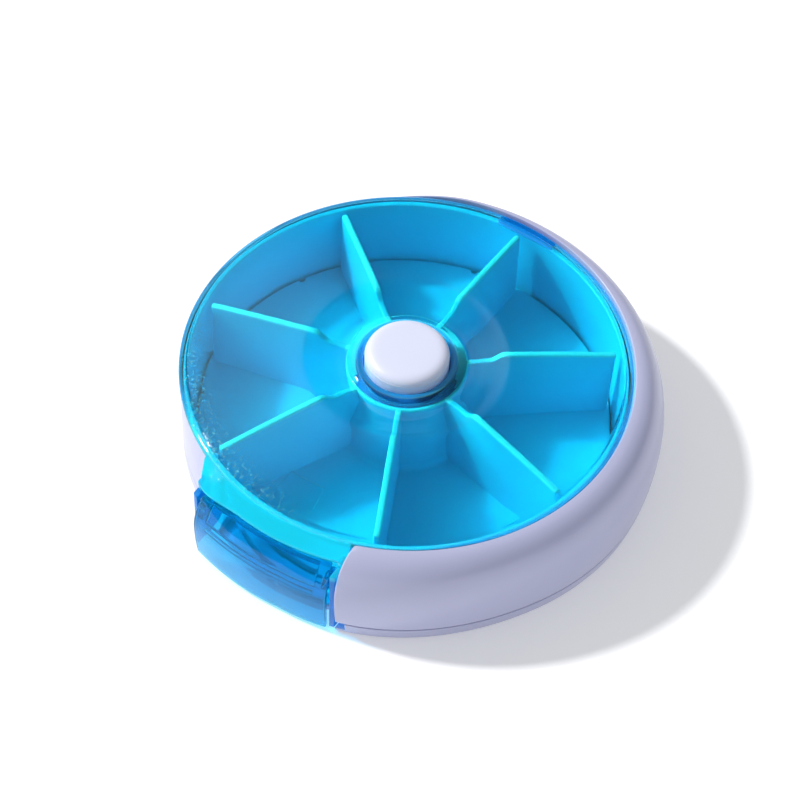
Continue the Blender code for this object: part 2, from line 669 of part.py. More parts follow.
def make_screws():
    """The case screws, driven from below, and the screw that holds the detent."""
    for index, heading in enumerate(CASE_SCREW_HEADINGS, 1):
        at = polar(CASE_SCREW_R, heading, 0.0)[:2]
        make_screw(f"case_screw_{index}", at, 0.4 * MM, 11 * MM, 1.6 * MM, 0.8 * MM)
    make_screw("detent_screw", DETENT_SCREW, 4.7 * MM, 0.7 * MM, 1.6 * MM, 0.8 * MM)


make_base()
make_shell()
make_drum()
make_sill()
make_cover()
make_tray()
make_flap()
make_button()
make_plunger()
make_driver()
make_spring()
make_detent()
make_screws()
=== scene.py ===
"""Looks of the round push-button pill dispenser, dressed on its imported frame.

The frame's origin is the tray's turning axis at the resting plane, +Z is up, and the outlet faces -Y. Every
length is in metres. Outlines written as corners are in millimetres, and MM turns them into metres.
"""

import logging
import math
from collections.abc import Callable, Sequence
from dataclasses import dataclass, field
from enum import Enum

import bmesh
import bpy
from mathutils import Matrix, Vector


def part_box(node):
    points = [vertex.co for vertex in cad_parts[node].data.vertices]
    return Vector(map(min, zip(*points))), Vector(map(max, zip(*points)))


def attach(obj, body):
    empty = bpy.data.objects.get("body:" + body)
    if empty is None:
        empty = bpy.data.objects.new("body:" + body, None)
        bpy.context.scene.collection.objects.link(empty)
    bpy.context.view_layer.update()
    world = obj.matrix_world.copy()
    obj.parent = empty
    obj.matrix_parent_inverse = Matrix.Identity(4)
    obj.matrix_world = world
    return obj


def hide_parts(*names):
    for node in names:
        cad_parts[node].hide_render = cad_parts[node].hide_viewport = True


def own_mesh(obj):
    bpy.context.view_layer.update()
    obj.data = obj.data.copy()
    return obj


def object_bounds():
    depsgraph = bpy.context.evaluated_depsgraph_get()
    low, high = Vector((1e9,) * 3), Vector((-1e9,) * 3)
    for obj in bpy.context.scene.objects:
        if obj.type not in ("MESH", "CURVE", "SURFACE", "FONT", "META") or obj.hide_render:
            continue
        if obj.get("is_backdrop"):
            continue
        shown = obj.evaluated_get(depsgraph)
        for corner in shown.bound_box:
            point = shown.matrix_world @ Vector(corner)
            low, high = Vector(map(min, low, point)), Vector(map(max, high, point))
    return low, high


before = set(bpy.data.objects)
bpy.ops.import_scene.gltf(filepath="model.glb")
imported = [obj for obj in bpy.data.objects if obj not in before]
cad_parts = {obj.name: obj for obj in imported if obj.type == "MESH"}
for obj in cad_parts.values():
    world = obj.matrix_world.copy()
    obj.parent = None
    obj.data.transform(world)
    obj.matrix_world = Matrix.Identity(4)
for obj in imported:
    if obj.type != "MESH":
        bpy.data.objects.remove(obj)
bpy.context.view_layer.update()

MM = 0.001
ROUND_STEPS = 180
SHARP_ANGLE = math.radians(32)
WELD = 0.003

Point = tuple[float, float]
Loop = list[Point]
Corner = tuple[float, ...]
Socket = bpy.types.NodeSocket

log = logging.getLogger("pill_dispenser")


class Body(Enum):
    """The moving bodies of the frame."""

    CASE = "case"
    TRAY = "tray"
    BUTTON = "button"
    DRIVER = "driver"
    DOOR = "door"


class Slot(Enum):
    """The record's material slots."""

    SHELL = "white_shell"
    BUTTON = "button_white"
    TRAY = "cyan_tray"
    CLEAR = "clear_blue"
    ACETAL = "grey_acetal"
    STEEL = "steel"


class Merge(Enum):
    """How one solid changes another."""

    CUT = "DIFFERENCE"
    FUSE = "UNION"


# ---------------------------------------------------------------- outlines


def ease(share: float) -> float:
    """A smooth step from 0 to 1."""
    share = min(max(share, 0.0), 1.0)
    return share * share * (3 - 2 * share)


def spaced(start: float, end: float, count: int) -> list[float]:
    """Evenly spaced values with both ends."""
    return [start + (end - start) * i / (count - 1) for i in range(count)]


def polar(radius: float, heading: float, height: float = 0.0) -> Vector:
    """The point at a radius, a heading in degrees and a height."""
    angle = math.radians(heading)
    return Vector((radius * math.cos(angle), radius * math.sin(angle), height))


def arc(radius: float, start: float, end: float, count: int) -> Loop:
    """Plan points along an arc about the origin."""
    return [tuple(polar(radius, heading)[:2]) for heading in spaced(start, end, count)]


def rounded(corners: Sequence[Corner], closed: bool = True, steps: int = 4) -> Loop:
    """Round the corners of an outline.

    Args:
        corners: Corners in millimetres, each with an optional rounding as its third number.
        closed: Whether the last corner joins the first.
        steps: Segments in each rounded corner.

    Returns:
        The outline's points in metres.
    """
    points: Loop = []
    last = len(corners) - 1
    for index, corner in enumerate(corners):
        here = Vector(corner[:2]) * MM
        reach = corner[2] * MM if len(corner) > 2 else 0.0
        if reach == 0.0 or (not closed and index in (0, last)):
            points.append(tuple(here))
            continue
        back = Vector(corners[index - 1][:2]) * MM - here
        ahead = Vector(corners[(index + 1) % len(corners)][:2]) * MM - here
        start = here + back.normalized() * min(reach, back.length * 0.48)
        end = here + ahead.normalized() * min(reach, ahead.length * 0.48)
        for step in range(steps + 1):
            share = step / steps
            points.append(tuple(start * (1 - share) ** 2 + here * 2 * share * (1 - share) + end * share**2))
    return points


def shrunk(corners: Sequence[Corner], distance: float) -> list[Corner]:
    """Move a closed outline's sides inwards, and change its roundings to match.

    Args:
        corners: Corners in millimetres, each with an optional rounding as its third number.
        distance: How far the sides move, in millimetres.

    Returns:
        As many corners as it was given.
    """
    if distance == 0.0:
        return list(corners)
    places = [Vector(corner[:2]) for corner in corners]
    area = sum(a.cross(b) for a, b in zip(places, places[1:] + places[:1]))
    turn = math.copysign(1.0, area)
    moved: list[Corner] = []
    for index, here in enumerate(places):
        into = (here - places[index - 1]).normalized()
        out = (places[(index + 1) % len(places)] - here).normalized()
        normals = Vector((-into.y - out.y, into.x + out.x)) * turn
        place = here + normals * (distance / max(1.0 + into.dot(out), 0.4))
        rounding = corners[index][2:]
        if rounding and rounding[0] > 0.0:
            change = -distance if into.cross(out) * turn > 0.0 else distance
            rounding = (max(rounding[0] + change, 0.01),)
        moved.append((*place, *rounding))
    return moved


def in_mm(loop: Loop) -> list[Corner]:
    """Points in metres as corners in millimetres."""
    return [(x / MM, y / MM) for x, y in loop]


@dataclass(frozen=True)
class CaseOutline:
    """The case in plan: a slim drum, an off-centre circle for the crescent and a nose at the outlet."""

    rim_r: float = 45.0 * MM
    rim_z: float = 22.0 * MM
    dome_rise: float = 2.6 * MM
    dome_flat_r: float = 43.0 * MM
    widest_z: float = 10.5 * MM
    slim_r: float = 44.9 * MM
    crescent_r: float = 48.57 * MM
    crescent_shift: float = 3.7 * MM
    crescent_heading: float = 5.0
    nose_reach: float = 3.0 * MM
    nose_lean: float = 0.08 * MM
    tuck: float = 1.2 * MM
    outlet_start: float = 251.0
    outlet_end: float = 290.6

    def crescent(self, heading: float) -> float:
        """The radius of the off-centre circle."""
        swing = math.radians(heading - self.crescent_heading)
        across = self.crescent_shift * math.sin(swing)
        return self.crescent_shift * math.cos(swing) + math.sqrt(self.crescent_r**2 - across**2)

    def nose(self, heading: float) -> float:
        """What the nose adds round the outlet, dying away into the crescent."""
        if 240.0 <= heading <= 275.0:
            return self.nose_reach + self.nose_lean * (275.0 - heading)
        if 275.0 < heading < 335.0:
            return self.nose_reach * math.cos(math.radians(90 * (heading - 275.0) / 60.0)) ** 2
        return 0.0

    def widest(self, heading: float) -> float:
        """The widest radius of the whole object at a heading."""
        heading %= 360.0
        full = self.crescent(heading) + self.nose(heading)
        if 140.0 < heading <= 200.0:
            return full + (self.slim_r - full) * ease((heading - 140.0) / 50.0)
        if 200.0 < heading < 251.0:
            return self.slim_r + (full - self.slim_r) * ease((heading - 241.0) / 10.0)
        return full

    def case(self, heading: float) -> float:
        """The widest radius of the white shells, which stay slim up to the outlet."""
        return self.slim_r if 200.0 < heading % 360 <= self.outlet_start else self.widest(heading)

    def side(self, heading: float, height: float) -> float:
        """The outer radius below the widest height, where the side tucks in."""
        widest = self.case(heading)
        drop = max(0.0, (self.widest_z - height) / self.widest_z)
        return widest - self.tuck * ease((widest - self.rim_r) / (4 * MM)) * drop**2

    def dome(self, radius: float) -> float:
        """The top of the cover outside its well."""
        return self.rim_z + self.dome_rise * (1 - (radius / self.dome_flat_r) ** 2)


OUTLINE = CaseOutline()
HEAD_ROOM = 1.85 * MM  # from the top of the dome down to the top of a vane


# ---------------------------------------------------------------- mesh work


def new_object(name: str, shape: bmesh.types.BMesh) -> bpy.types.Object:
    """Link a bmesh as an object with its faces pointing out.

    Args:
        name: The object's name.
        shape: The bmesh, which is freed.

    Returns:
        The linked object.
    """
    bmesh.ops.recalc_face_normals(shape, faces=shape.faces)
    data = bpy.data.meshes.new(name)
    shape.to_mesh(data)
    shape.free()
    made = bpy.data.objects.new(name, data)
    bpy.context.scene.collection.objects.link(made)
    return made


def bridge(shape: bmesh.types.BMesh, rings: Sequence[Sequence[bmesh.types.BMVert]], closed: bool) -> None:
    """Skin neighbouring rings of equal length with quads."""
    pairs = zip(rings, [*rings[1:], rings[0]]) if closed else zip(rings, rings[1:])
    for first, second in pairs:
        for i, corner in enumerate(first):
            shape.faces.new((corner, first[i - 1], second[i - 1], second[i]))


def turned(name: str, profile: Loop, steps: int = ROUND_STEPS, at: Point = (0.0, 0.0)) -> bpy.types.Object:
    """Turn a profile about an upright axis.

    Args:
        name: The object's name.
        profile: Points of radius and height. It is closed unless its first and last points are on the axis.
        steps: Segments round the axis.
        at: Where the axis stands in plan.

    Returns:
        The turned solid.
    """
    shape = bmesh.new()
    on_axis = profile[0][0] == 0.0
    body = profile[1:-1] if on_axis else profile
    headings = spaced(0.0, 360.0, steps + 1)[:-1]
    middle = Vector((*at, 0.0))
    columns = [[shape.verts.new(middle + polar(r, heading, z)) for r, z in body] for heading in headings]
    for first, second in zip(columns, columns[1:] + columns[:1]):
        count = len(first)
        for i in range(count - 1 if on_axis else count):
            j = (i + 1) % count
            shape.faces.new((first[i], second[i], second[j], first[j]))
    if on_axis:
        for (_, height), row in ((profile[0], 0), (profile[-1], -1)):
            pole = shape.verts.new(middle + Vector((0.0, 0.0, height)))
            for first, second in zip(columns, columns[1:] + columns[:1]):
                shape.faces.new((first[row], second[row], pole))
    return new_object(name, shape)


def swept(
    name: str,
    section_at: Callable[[float], Sequence[Corner]],
    headings: Sequence[float],
    soften: Point = (0.0, 0.0),
    skew: Callable[[float, float], float] = lambda radius, heading: 0.0,
) -> bpy.types.Object:
    """Loft the section that a function gives round the drum, with softened end faces.

    Args:
        name: The object's name.
        section_at: Gives the closed section, as corners of radius and height in millimetres, at a heading.
        headings: The headings in degrees, from one end face to the other.
        soften: How far the first and the last face's edges are rounded, in millimetres.
        skew: Gives the degrees to add to a point's heading, from its radius and its section's heading.

    Returns:
        The lofted solid.
    """
    steps = [math.radians(90 * k / 4) for k in range(4)]
    radius = section_at(headings[0])[0][0]
    first, last = (math.degrees(size / radius) for size in soften)
    marks = [(headings[0] + first * (1 - math.cos(t)), soften[0] * (1 - math.sin(t))) for t in steps if first]
    low, high = headings[0] + first * 0.99, headings[-1] - last * 0.99
    marks += [(heading, 0.0) for heading in headings if low <= heading <= high]
    marks += [
        (headings[-1] - last * (1 - math.cos(t)), soften[1] * (1 - math.sin(t)))
        for t in steps[::-1] if last]
    shape = bmesh.new()
    rings = []
    for heading, shrink in marks:
        section = rounded(shrunk(section_at(heading), shrink))
        rings.append([shape.verts.new(polar(r, heading + skew(r, heading), z)) for r, z in section])
    bridge(shape, rings, closed=False)
    shape.faces.new(rings[0])
    shape.faces.new(rings[-1])
    return new_object(name, shape)


def prism(
    name: str, outline: Loop, bottom: float, top: float, bevel: float = 0.0, turn: Matrix | None = None
) -> bpy.types.Object:
    """Extrude a plan outline between two heights.

    Args:
        name: The object's name.
        outline: The plan outline.
        bottom: The lower height.
        top: The upper height.
        bevel: How far every sharp edge is rounded.
        turn: Moves the finished prism.

    Returns:
        The solid.
    """
    shape = bmesh.new()
    rings = [[shape.verts.new((x, y, z)) for x, y in outline] for z in (bottom, top)]
    bridge(shape, rings, closed=False)
    shape.faces.new(rings[0])
    shape.faces.new(rings[1])
    bmesh.ops.recalc_face_normals(shape, faces=shape.faces)
    if bevel:
        edges = [edge for edge in shape.edges if edge.calc_face_angle(0.0) > SHARP_ANGLE]
        bmesh.ops.bevel(
            shape, geom=edges, offset=bevel, segments=3, profile=0.5, affect="EDGES", clamp_overlap=True)
    if turn is not None:
        shape.transform(turn)
    return new_object(name, shape)


def rod_along_x(
        name: str, radius: float, span: Point, y: float, z: float, bevel: float = 0.0) -> bpy.types.Object:
    """A round rod parallel to X, with bevelled ends."""
    turn = Matrix.Translation((0.0, y, z)) @ Matrix.Rotation(math.radians(90), 4, "Y")
    return prism(name, arc(radius, 0.0, 360.0, 41)[:-1], span[0], span[1], bevel, turn)


def merged(base: bpy.types.Object, how: Merge, *others: bpy.types.Object) -> bpy.types.Object:
    """Cut or fuse solids into a base, and remove them.

    Args:
        base: The solid that is changed.
        how: Whether the others are cut away or fused on.
        others: The other solids.

    Returns:
        The base, with its new mesh.
    """
    solids = (base, *others)
    for solid in solids:
        solid.data.transform(Matrix.Scale(1 / MM, 4))
    for other in others:
        boolean = base.modifiers.new(other.name, "BOOLEAN")
        boolean.operation = how.value
        boolean.object = other
        boolean.solver = "EXACT"
    graph = bpy.context.evaluated_depsgraph_get()
    result = bpy.data.meshes.new_from_object(base.evaluated_get(graph), depsgraph=graph)
    base.modifiers.clear()
    shape = bmesh.new()
    shape.from_mesh(result)
    bmesh.ops.remove_doubles(shape, verts=shape.verts, dist=WELD)
    bmesh.ops.dissolve_degenerate(shape, edges=shape.edges, dist=WELD)
    bmesh.ops.holes_fill(shape, edges=[edge for edge in shape.edges if edge.is_boundary])
    shape.transform(Matrix.Scale(MM, 4))
    shape.to_mesh(result)
    shape.free()
    base.data = result
    for other in others:
        bpy.data.objects.remove(other)
    return base


# ---------------------------------------------------------------- finishes


class Wiring:
    """Adds and links the nodes of one tree."""

    def __init__(self, tree: bpy.types.NodeTree) -> None:
        """Start from an empty tree."""
        self.tree = tree
        tree.nodes.clear()

    def put(self, socket: Socket, value: object) -> None:
        """Link a socket to another, or set its value."""
        if isinstance(value, bpy.types.NodeSocket):
            self.tree.links.new(value, socket)
        elif isinstance(value, tuple) and len(value) == 3 and socket.type == "RGBA":
            socket.default_value = (*value, 1.0)
        else:
            socket.default_value = value

    def add(self, kind: str, settings: dict[str, object] | None = None, **values: object) -> bpy.types.Node:
        """Add a node.

        Args:
            kind: The node type after "ShaderNode".
            settings: Properties of the node itself.
            values: Input sockets by name, with _ for a space.

        Returns:
            The new node.
        """
        node = self.tree.nodes.new("ShaderNode" + kind)
        for name, value in (settings or {}).items():
            setattr(node, name, value)
        for name, value in values.items():
            self.put(node.inputs[name.replace("_", " ")], value)
        return node

    def place(self) -> Socket:
        """The piece's own coordinates."""
        return self.add("TexCoord").outputs["Object"]

    def math(self, operation: str, first: object, second: object = 0.0, clamp: bool = False) -> Socket:
        """The result of a Math node."""
        node = self.add("Math", {"operation": operation, "use_clamp": clamp})
        self.put(node.inputs[0], first)
        self.put(node.inputs[1], second)
        return node.outputs[0]

    def noise(self, scale: float, detail: float = 3.0, stretch: Vector | None = None) -> Socket:
        """Noise from 0 to 1 over the piece, with its grain's size as scale."""
        where = self.place()
        if stretch is not None:
            where = self.add("Mapping", Vector=where, Scale=tuple(stretch)).outputs[0]
        return self.add("TexNoise", Vector=where, Scale=scale, Detail=detail).outputs["Fac"]

    def spread(self, source: Socket, low: float, high: float, start: float = 0.3, end: float = 0.7) -> Socket:
        """Map a value from one range to another."""
        node = self.add(
            "MapRange", {"clamp": True},
            Value=source, From_Min=start, From_Max=end, To_Min=low, To_Max=high)
        return node.outputs["Result"]

    def blend(self, share: object, first: object, second: object) -> Socket:
        """Mix two colours."""
        node = self.add("Mix", {"data_type": "RGBA"})
        self.put(node.inputs[0], share)
        self.put(node.inputs[6], first)
        self.put(node.inputs[7], second)
        return node.outputs[2]

    def bump(self, height: Socket, depth: float, strength: float = 1.0, normal: Socket | None = None) -> Socket:
        """A bumped normal from a height between 0 and 1."""
        node = self.add("Bump", Height=height, Distance=depth, Strength=strength)
        if normal is not None:
            self.put(node.inputs["Normal"], normal)
        return node.outputs[0]


def new_material(name: str) -> tuple[bpy.types.Material, Wiring]:
    """A material and the wiring of its empty tree."""
    made = bpy.data.materials.new(name)
    made.use_nodes = True
    return made, Wiring(made.node_tree)


Colour = tuple[float, float, float]


@dataclass(frozen=True)
class Moulded:
    """An opaque moulded plastic with faint flow in its colour and a fine skin."""

    name: str
    colour: Colour
    flow: Colour
    roughness: Point
    grain: float = 2600.0
    grain_depth: float = 0.0012 * MM
    coat: float = 0.0

    def build(self) -> bpy.types.Material:
        """The material."""
        made, wires = new_material(self.name)
        self.finish(wires, self.tone(wires))
        return made

    def tone(self, wires: Wiring) -> Socket:
        """The colour, with slow drifts from the moulding."""
        drift = wires.spread(wires.noise(38.0, 2.0), 0.0, 1.0, 0.35, 0.65)
        return wires.blend(drift, self.colour, self.flow)

    def finish(self, wires: Wiring, colour: Socket) -> None:
        """Add the shader and the output."""
        skin = wires.bump(wires.noise(self.grain, 4.0), self.grain_depth)
        waves = wires.bump(wires.noise(45.0, 1.0), 0.02 * MM, 0.3, skin)
        shader = wires.add(
            "BsdfPrincipled", Base_Color=colour, Normal=waves, IOR=1.5,
            Roughness=wires.spread(wires.noise(420.0, 5.0), *self.roughness),
            Coat_Weight=self.coat, Coat_Roughness=0.12)
        wires.add("OutputMaterial", Surface=shader.outputs[0])


@dataclass(frozen=True)
class MouldedWithPaintedHighlight(Moulded):
    """The tray's cyan plastic, with a painted highlight along the vanes' top edges and the hub's rim."""

    # painted highlight: the paler colour of the vanes' top edges and the hub's rim
    edge: Colour = (0.22, 0.95, 1.0)
    # how strongly the painted highlight is mixed in
    glow: float = 0.85

    def tone(self, wires: Wiring) -> Socket:
        """The colour, with a painted highlight: paler along the vanes' top edges and the hub's rim."""
        parts = wires.add("SeparateXYZ", Vector=wires.place())
        x, y, z = (parts.outputs[axis] for axis in "XYZ")
        square = wires.math("ADD", wires.math("MULTIPLY", x, x), wires.math("MULTIPLY", y, y))
        fall = OUTLINE.dome_rise / OUTLINE.dome_flat_r**2
        crest = OUTLINE.dome(0.0) - HEAD_ROOM
        above = wires.math("ADD", wires.math("SUBTRACT", z, crest), wires.math("MULTIPLY", square, fall))
        vane = wires.spread(above, 0.0, 1.0, -0.75 * MM, -0.2 * MM)
        near = wires.math("LESS_THAN", square, (13.0 * MM) ** 2)
        hub = wires.math("MULTIPLY", near, wires.spread(z, 0.0, 1.0, 19.3 * MM, 20.35 * MM))
        # painted highlight: the vane-top and hub-rim masks, scaled by glow
        share = wires.math("MULTIPLY", wires.math("MAXIMUM", vane, hub), self.glow)
        return wires.blend(share, super().tone(wires), self.edge)


@dataclass(frozen=True)
class ClearPlastic:
    """A tinted clear plastic, which lets lamps reach what is behind it."""

    name: str
    tint: Colour
    roughness: Point = (0.02, 0.05)
    ripple: float = 0.02 * MM
    haze: float = 0.04
    gloss: float = 0.4
    passing: float = 0.84

    def build(self) -> bpy.types.Material:
        """The material."""
        made, wires = new_material(self.name)
        glass = wires.add(
            "BsdfPrincipled", Base_Color=self.tone(wires), Roughness=self.rough(wires),
            Normal=self.relief(wires), IOR=1.45,
            Transmission_Weight=wires.math("SUBTRACT", 1.0, self.cloud(wires)))
        glass.inputs["Specular IOR Level"].default_value = self.gloss
        through = wires.add(
            "BsdfTransparent", Color=tuple(math.sqrt(part) * self.passing for part in self.tint))
        path = wires.add("LightPath")
        mix = wires.add("MixShader", Fac=path.outputs["Is Shadow Ray"])
        wires.put(mix.inputs[1], glass.outputs[0])
        wires.put(mix.inputs[2], through.outputs[0])
        wires.add("OutputMaterial", Surface=mix.outputs[0])
        return made

    def tone(self, wires: Wiring) -> Socket:
        """The tint, with a slow drift."""
        deep = tuple(part * 0.94 for part in self.tint)
        return wires.blend(wires.spread(wires.noise(30.0, 2.0), 0.0, 1.0), self.tint, deep)

    def rough(self, wires: Wiring) -> Socket:
        """The roughness, with fine smears."""
        return wires.spread(wires.noise(300.0, 5.0), *self.roughness)

    def relief(self, wires: Wiring) -> Socket:
        """The surface's slow ripple."""
        return wires.bump(wires.noise(70.0, 2.0), self.ripple, 0.5)

    def cloud(self, wires: Wiring) -> Socket:
        """How much of the light is scattered inside instead of let through."""
        return wires.spread(wires.noise(55.0, 3.0), self.haze * 0.8, self.haze * 1.2)


@dataclass(frozen=True)
class CoverPlastic(ClearPlastic):
    """The cover's plastic: handled and slightly frosted at the rim, with painted light in the thick hood and
    partly painted shade over the snap window.
    """

    # painted light in the hood: the share of the hood, the collar and the rim that shows the tint instead of
    # letting light through
    glow: float = 0.45
    frost_heading: float = 238.0
    # painted light: the hood's richer cyan, shown partly as an opaque colour
    hood_tint: Colour = (0.02, 0.84, 1.0)
    collar_tint: Colour = (0.03, 0.45, 0.92)
    # the deep blue of the cheeks and the flange's edge, and partly painted shade over the snap window
    cheek_and_shade_tint: Colour = (0.01, 0.36, 0.85)

    def radius(self, wires: Wiring) -> Socket:
        """The distance from the tray's axis."""
        flat = wires.add("VectorMath", {"operation": "MULTIPLY"})
        wires.put(flat.inputs[0], wires.place())
        flat.inputs[1].default_value = (1.0, 1.0, 0.0)
        length = wires.add("VectorMath", {"operation": "LENGTH"})
        wires.put(length.inputs[0], flat.outputs[0])
        return length.outputs["Value"]

    def frost(self, wires: Wiring) -> Socket:
        """Where the thumb has dulled the rim."""
        band = wires.spread(self.radius(wires), 0.0, 1.0, 37.0 * MM, 42.0 * MM)
        toward = polar(1.0, self.frost_heading)
        along = wires.add("VectorMath", {"operation": "DOT_PRODUCT"})
        wires.put(along.inputs[0], wires.place())
        along.inputs[1].default_value = toward
        side = wires.spread(along.outputs["Value"], 0.0, 1.0, 31.0 * MM, 42.0 * MM)
        specks = wires.spread(wires.noise(1700.0, 2.0), 0.0, 1.0, 0.56, 0.7)
        return wires.math("MULTIPLY", wires.math("MULTIPLY", band, side), specks)

    def relief(self, wires: Wiring) -> Socket:
        """The ripple and the frost's fine grain."""
        return wires.bump(self.frost(wires), 0.02 * MM, 0.6, super().relief(wires))

    def hood(self, wires: Wiring) -> Socket:
        """Where the cover is the thick hood over the outlet."""
        parts = wires.add("SeparateXYZ", Vector=wires.place())
        front = wires.spread(parts.outputs["Y"], 1.0, 0.0, -38.0 * MM, -34.0 * MM)
        beyond = wires.spread(self.radius(wires), 0.0, 1.0, 44.3 * MM, 45.0 * MM)
        return wires.math("MULTIPLY", beyond, front)

    def cheek(self, wires: Wiring) -> Socket:
        """Where the cover reaches down beside the flap."""
        parts = wires.add("SeparateXYZ", Vector=wires.place())
        return wires.spread(parts.outputs["Z"], 1.0, 0.0, 16.6 * MM, 17.4 * MM)

    def rim(self, wires: Wiring) -> Socket:
        """The flange's edge, and the snap window with the rim beside it. Over the window the deep tint is partly
        the plastic's depth and partly painted shade.
        """
        parts = wires.add("SeparateXYZ", Vector=wires.place())
        x, y = parts.outputs["X"], parts.outputs["Y"]
        edge = wires.spread(self.radius(wires), 0.0, 0.8, 44.1 * MM, 44.6 * MM)
        back = wires.spread(y, 0.0, 1.0, -36.0 * MM, -32.0 * MM)
        across = wires.math("MULTIPLY", wires.spread(x, 0.0, 1.0, -5.6 * MM, -5.0 * MM),
                            wires.spread(x, 1.0, 0.0, 7.6 * MM, 8.1 * MM))
        window = wires.math("MULTIPLY", across, wires.spread(y, 0.0, 1.0, 41.6 * MM, 42.2 * MM))
        return wires.math("MAXIMUM", wires.math("MULTIPLY", edge, back), window)

    def collar(self, wires: Wiring) -> Socket:
        """Where the cover is the tube round the button."""
        return wires.spread(self.radius(wires), 1.0, 0.0, 9.8 * MM, 10.3 * MM)

    def tone(self, wires: Wiring) -> Socket:
        """The tint, richer in the hood and deeper in the collar. The hood's tint is painted light, and the deep
        tint over the snap window is partly painted shade.
        """
        rich = wires.blend(self.hood(wires), super().tone(wires), self.hood_tint)
        inner = wires.blend(self.collar(wires), rich, self.collar_tint)
        deep = wires.math("MAXIMUM", self.cheek(wires), self.rim(wires))
        return wires.blend(deep, inner, self.cheek_and_shade_tint)

    def cloud(self, wires: Wiring) -> Socket:
        """More light is scattered in the hood, in the collar and in the frost; in the hood this is painted
        light.
        """
        solid = wires.math(
            "MAXIMUM", self.hood(wires), wires.math("MAXIMUM", self.collar(wires), self.rim(wires)))
        thick = wires.math("MULTIPLY", solid, self.glow)
        dull = wires.math("MULTIPLY", self.frost(wires), 0.35)
        return wires.math("ADD", super().cloud(wires), wires.math("MAXIMUM", thick, dull), clamp=True)


@dataclass(frozen=True)
class FlapPlastic(ClearPlastic):
    """The flap's plastic, with a painted highlight along its lower edge."""

    # how much of the lower edge shows the painted highlight instead of letting light through
    glow: float = 0.5
    # painted highlight: the paler tint of the lower edge
    edge_tint: Colour = (0.03, 0.80, 1.0)

    def edge(self, wires: Wiring) -> Socket:
        """The flap's lower edge."""
        parts = wires.add("SeparateXYZ", Vector=wires.place())
        return wires.spread(parts.outputs["Z"], 1.0, 0.0, 1.3 * MM, 2.1 * MM)

    def tone(self, wires: Wiring) -> Socket:
        """The tint, with a painted highlight: paler along the lower edge."""
        return wires.blend(self.edge(wires), super().tone(wires), self.edge_tint)

    def cloud(self, wires: Wiring) -> Socket:
        """More light is scattered along the edge, so that the painted highlight shows there."""
        lit = wires.math("MULTIPLY", self.edge(wires), self.glow)
        return wires.math("MAXIMUM", super().cloud(wires), lit)


@dataclass(frozen=True)
class Metal:
    """A drawn or turned steel with fine lines along one axis."""

    name: str
    colour: Colour = (0.62, 0.62, 0.64)
    roughness: Point = (0.16, 0.34)
    lines: Point = (200.0, 2600.0)

    def build(self) -> bpy.types.Material:
        """The material."""
        made, wires = new_material(self.name)
        stretch = Vector((self.lines[1], self.lines[1], self.lines[0]))
        grain = wires.noise(1.0, 4.0, stretch)
        tone = wires.blend(wires.spread(wires.noise(500.0), 0.0, 0.5), self.colour, (0.42, 0.42, 0.45))
        shader = wires.add(
            "BsdfPrincipled", Base_Color=tone, Metallic=1.0, Roughness=wires.spread(grain, *self.roughness),
            Normal=wires.bump(grain, 0.004 * MM))
        wires.add("OutputMaterial", Surface=shader.outputs[0])
        return made


@dataclass(frozen=True)
class Plain:
    """The studio floor, lifted a little so that its shadows stay pale."""

    name: str
    colour: Colour
    lift: float = 0.25

    def build(self) -> bpy.types.Material:
        """The material."""
        made, wires = new_material(self.name)
        tone = wires.blend(wires.noise(3.0), self.colour, tuple(part * 0.97 for part in self.colour))
        shader = wires.add(
            "BsdfPrincipled", Base_Color=tone, Roughness=0.8, Emission_Color=self.colour,
            Emission_Strength=self.lift)
        shader.inputs["Specular IOR Level"].default_value = 0.1
        wires.add("OutputMaterial", Surface=shader.outputs[0])
        return made


@dataclass
class Palette:
    """Every finish of the object, built once."""

    shell: bpy.types.Material = field(init=False)
    button: bpy.types.Material = field(init=False)
    tray: bpy.types.Material = field(init=False)
    drum: bpy.types.Material = field(init=False)
    cover: bpy.types.Material = field(init=False)
    flap: bpy.types.Material = field(init=False)
    acetal: bpy.types.Material = field(init=False)
    steel: bpy.types.Material = field(init=False)

    def __post_init__(self) -> None:
        """Build the materials."""
        self.shell = Moulded(
            "white_shell", (0.50, 0.515, 0.73), (0.48, 0.495, 0.71), (0.29, 0.33), coat=0.1).build()
        self.button = Moulded("button_white", (0.76, 0.79, 0.98), (0.73, 0.76, 0.95), (0.36, 0.42)).build()
        # the tray's upper edges carry a painted highlight
        self.tray = MouldedWithPaintedHighlight("cyan_tray", (0.03, 0.72, 0.97), (0.02, 0.68, 0.94), (0.3, 0.42)).build()
        self.drum = Moulded("cyan_drum", (0.03, 0.70, 0.97), (0.02, 0.66, 0.94), (0.28, 0.4)).build()
        # the hood is painted light, and the snap window's deep tint is partly painted shade
        self.cover = CoverPlastic("clear_blue_cover", (0.28, 0.95, 1.0), haze=0.012).build()
        self.flap = FlapPlastic(
            "clear_blue_flap", (0.004, 0.50, 0.82), ripple=0.05 * MM, haze=0.12, gloss=0.06).build()
        self.acetal = Moulded("grey_acetal", (0.62, 0.64, 0.66), (0.55, 0.57, 0.60), (0.35, 0.5)).build()
        self.steel = Metal("steel").build()


# ---------------------------------------------------------------- sub-assemblies


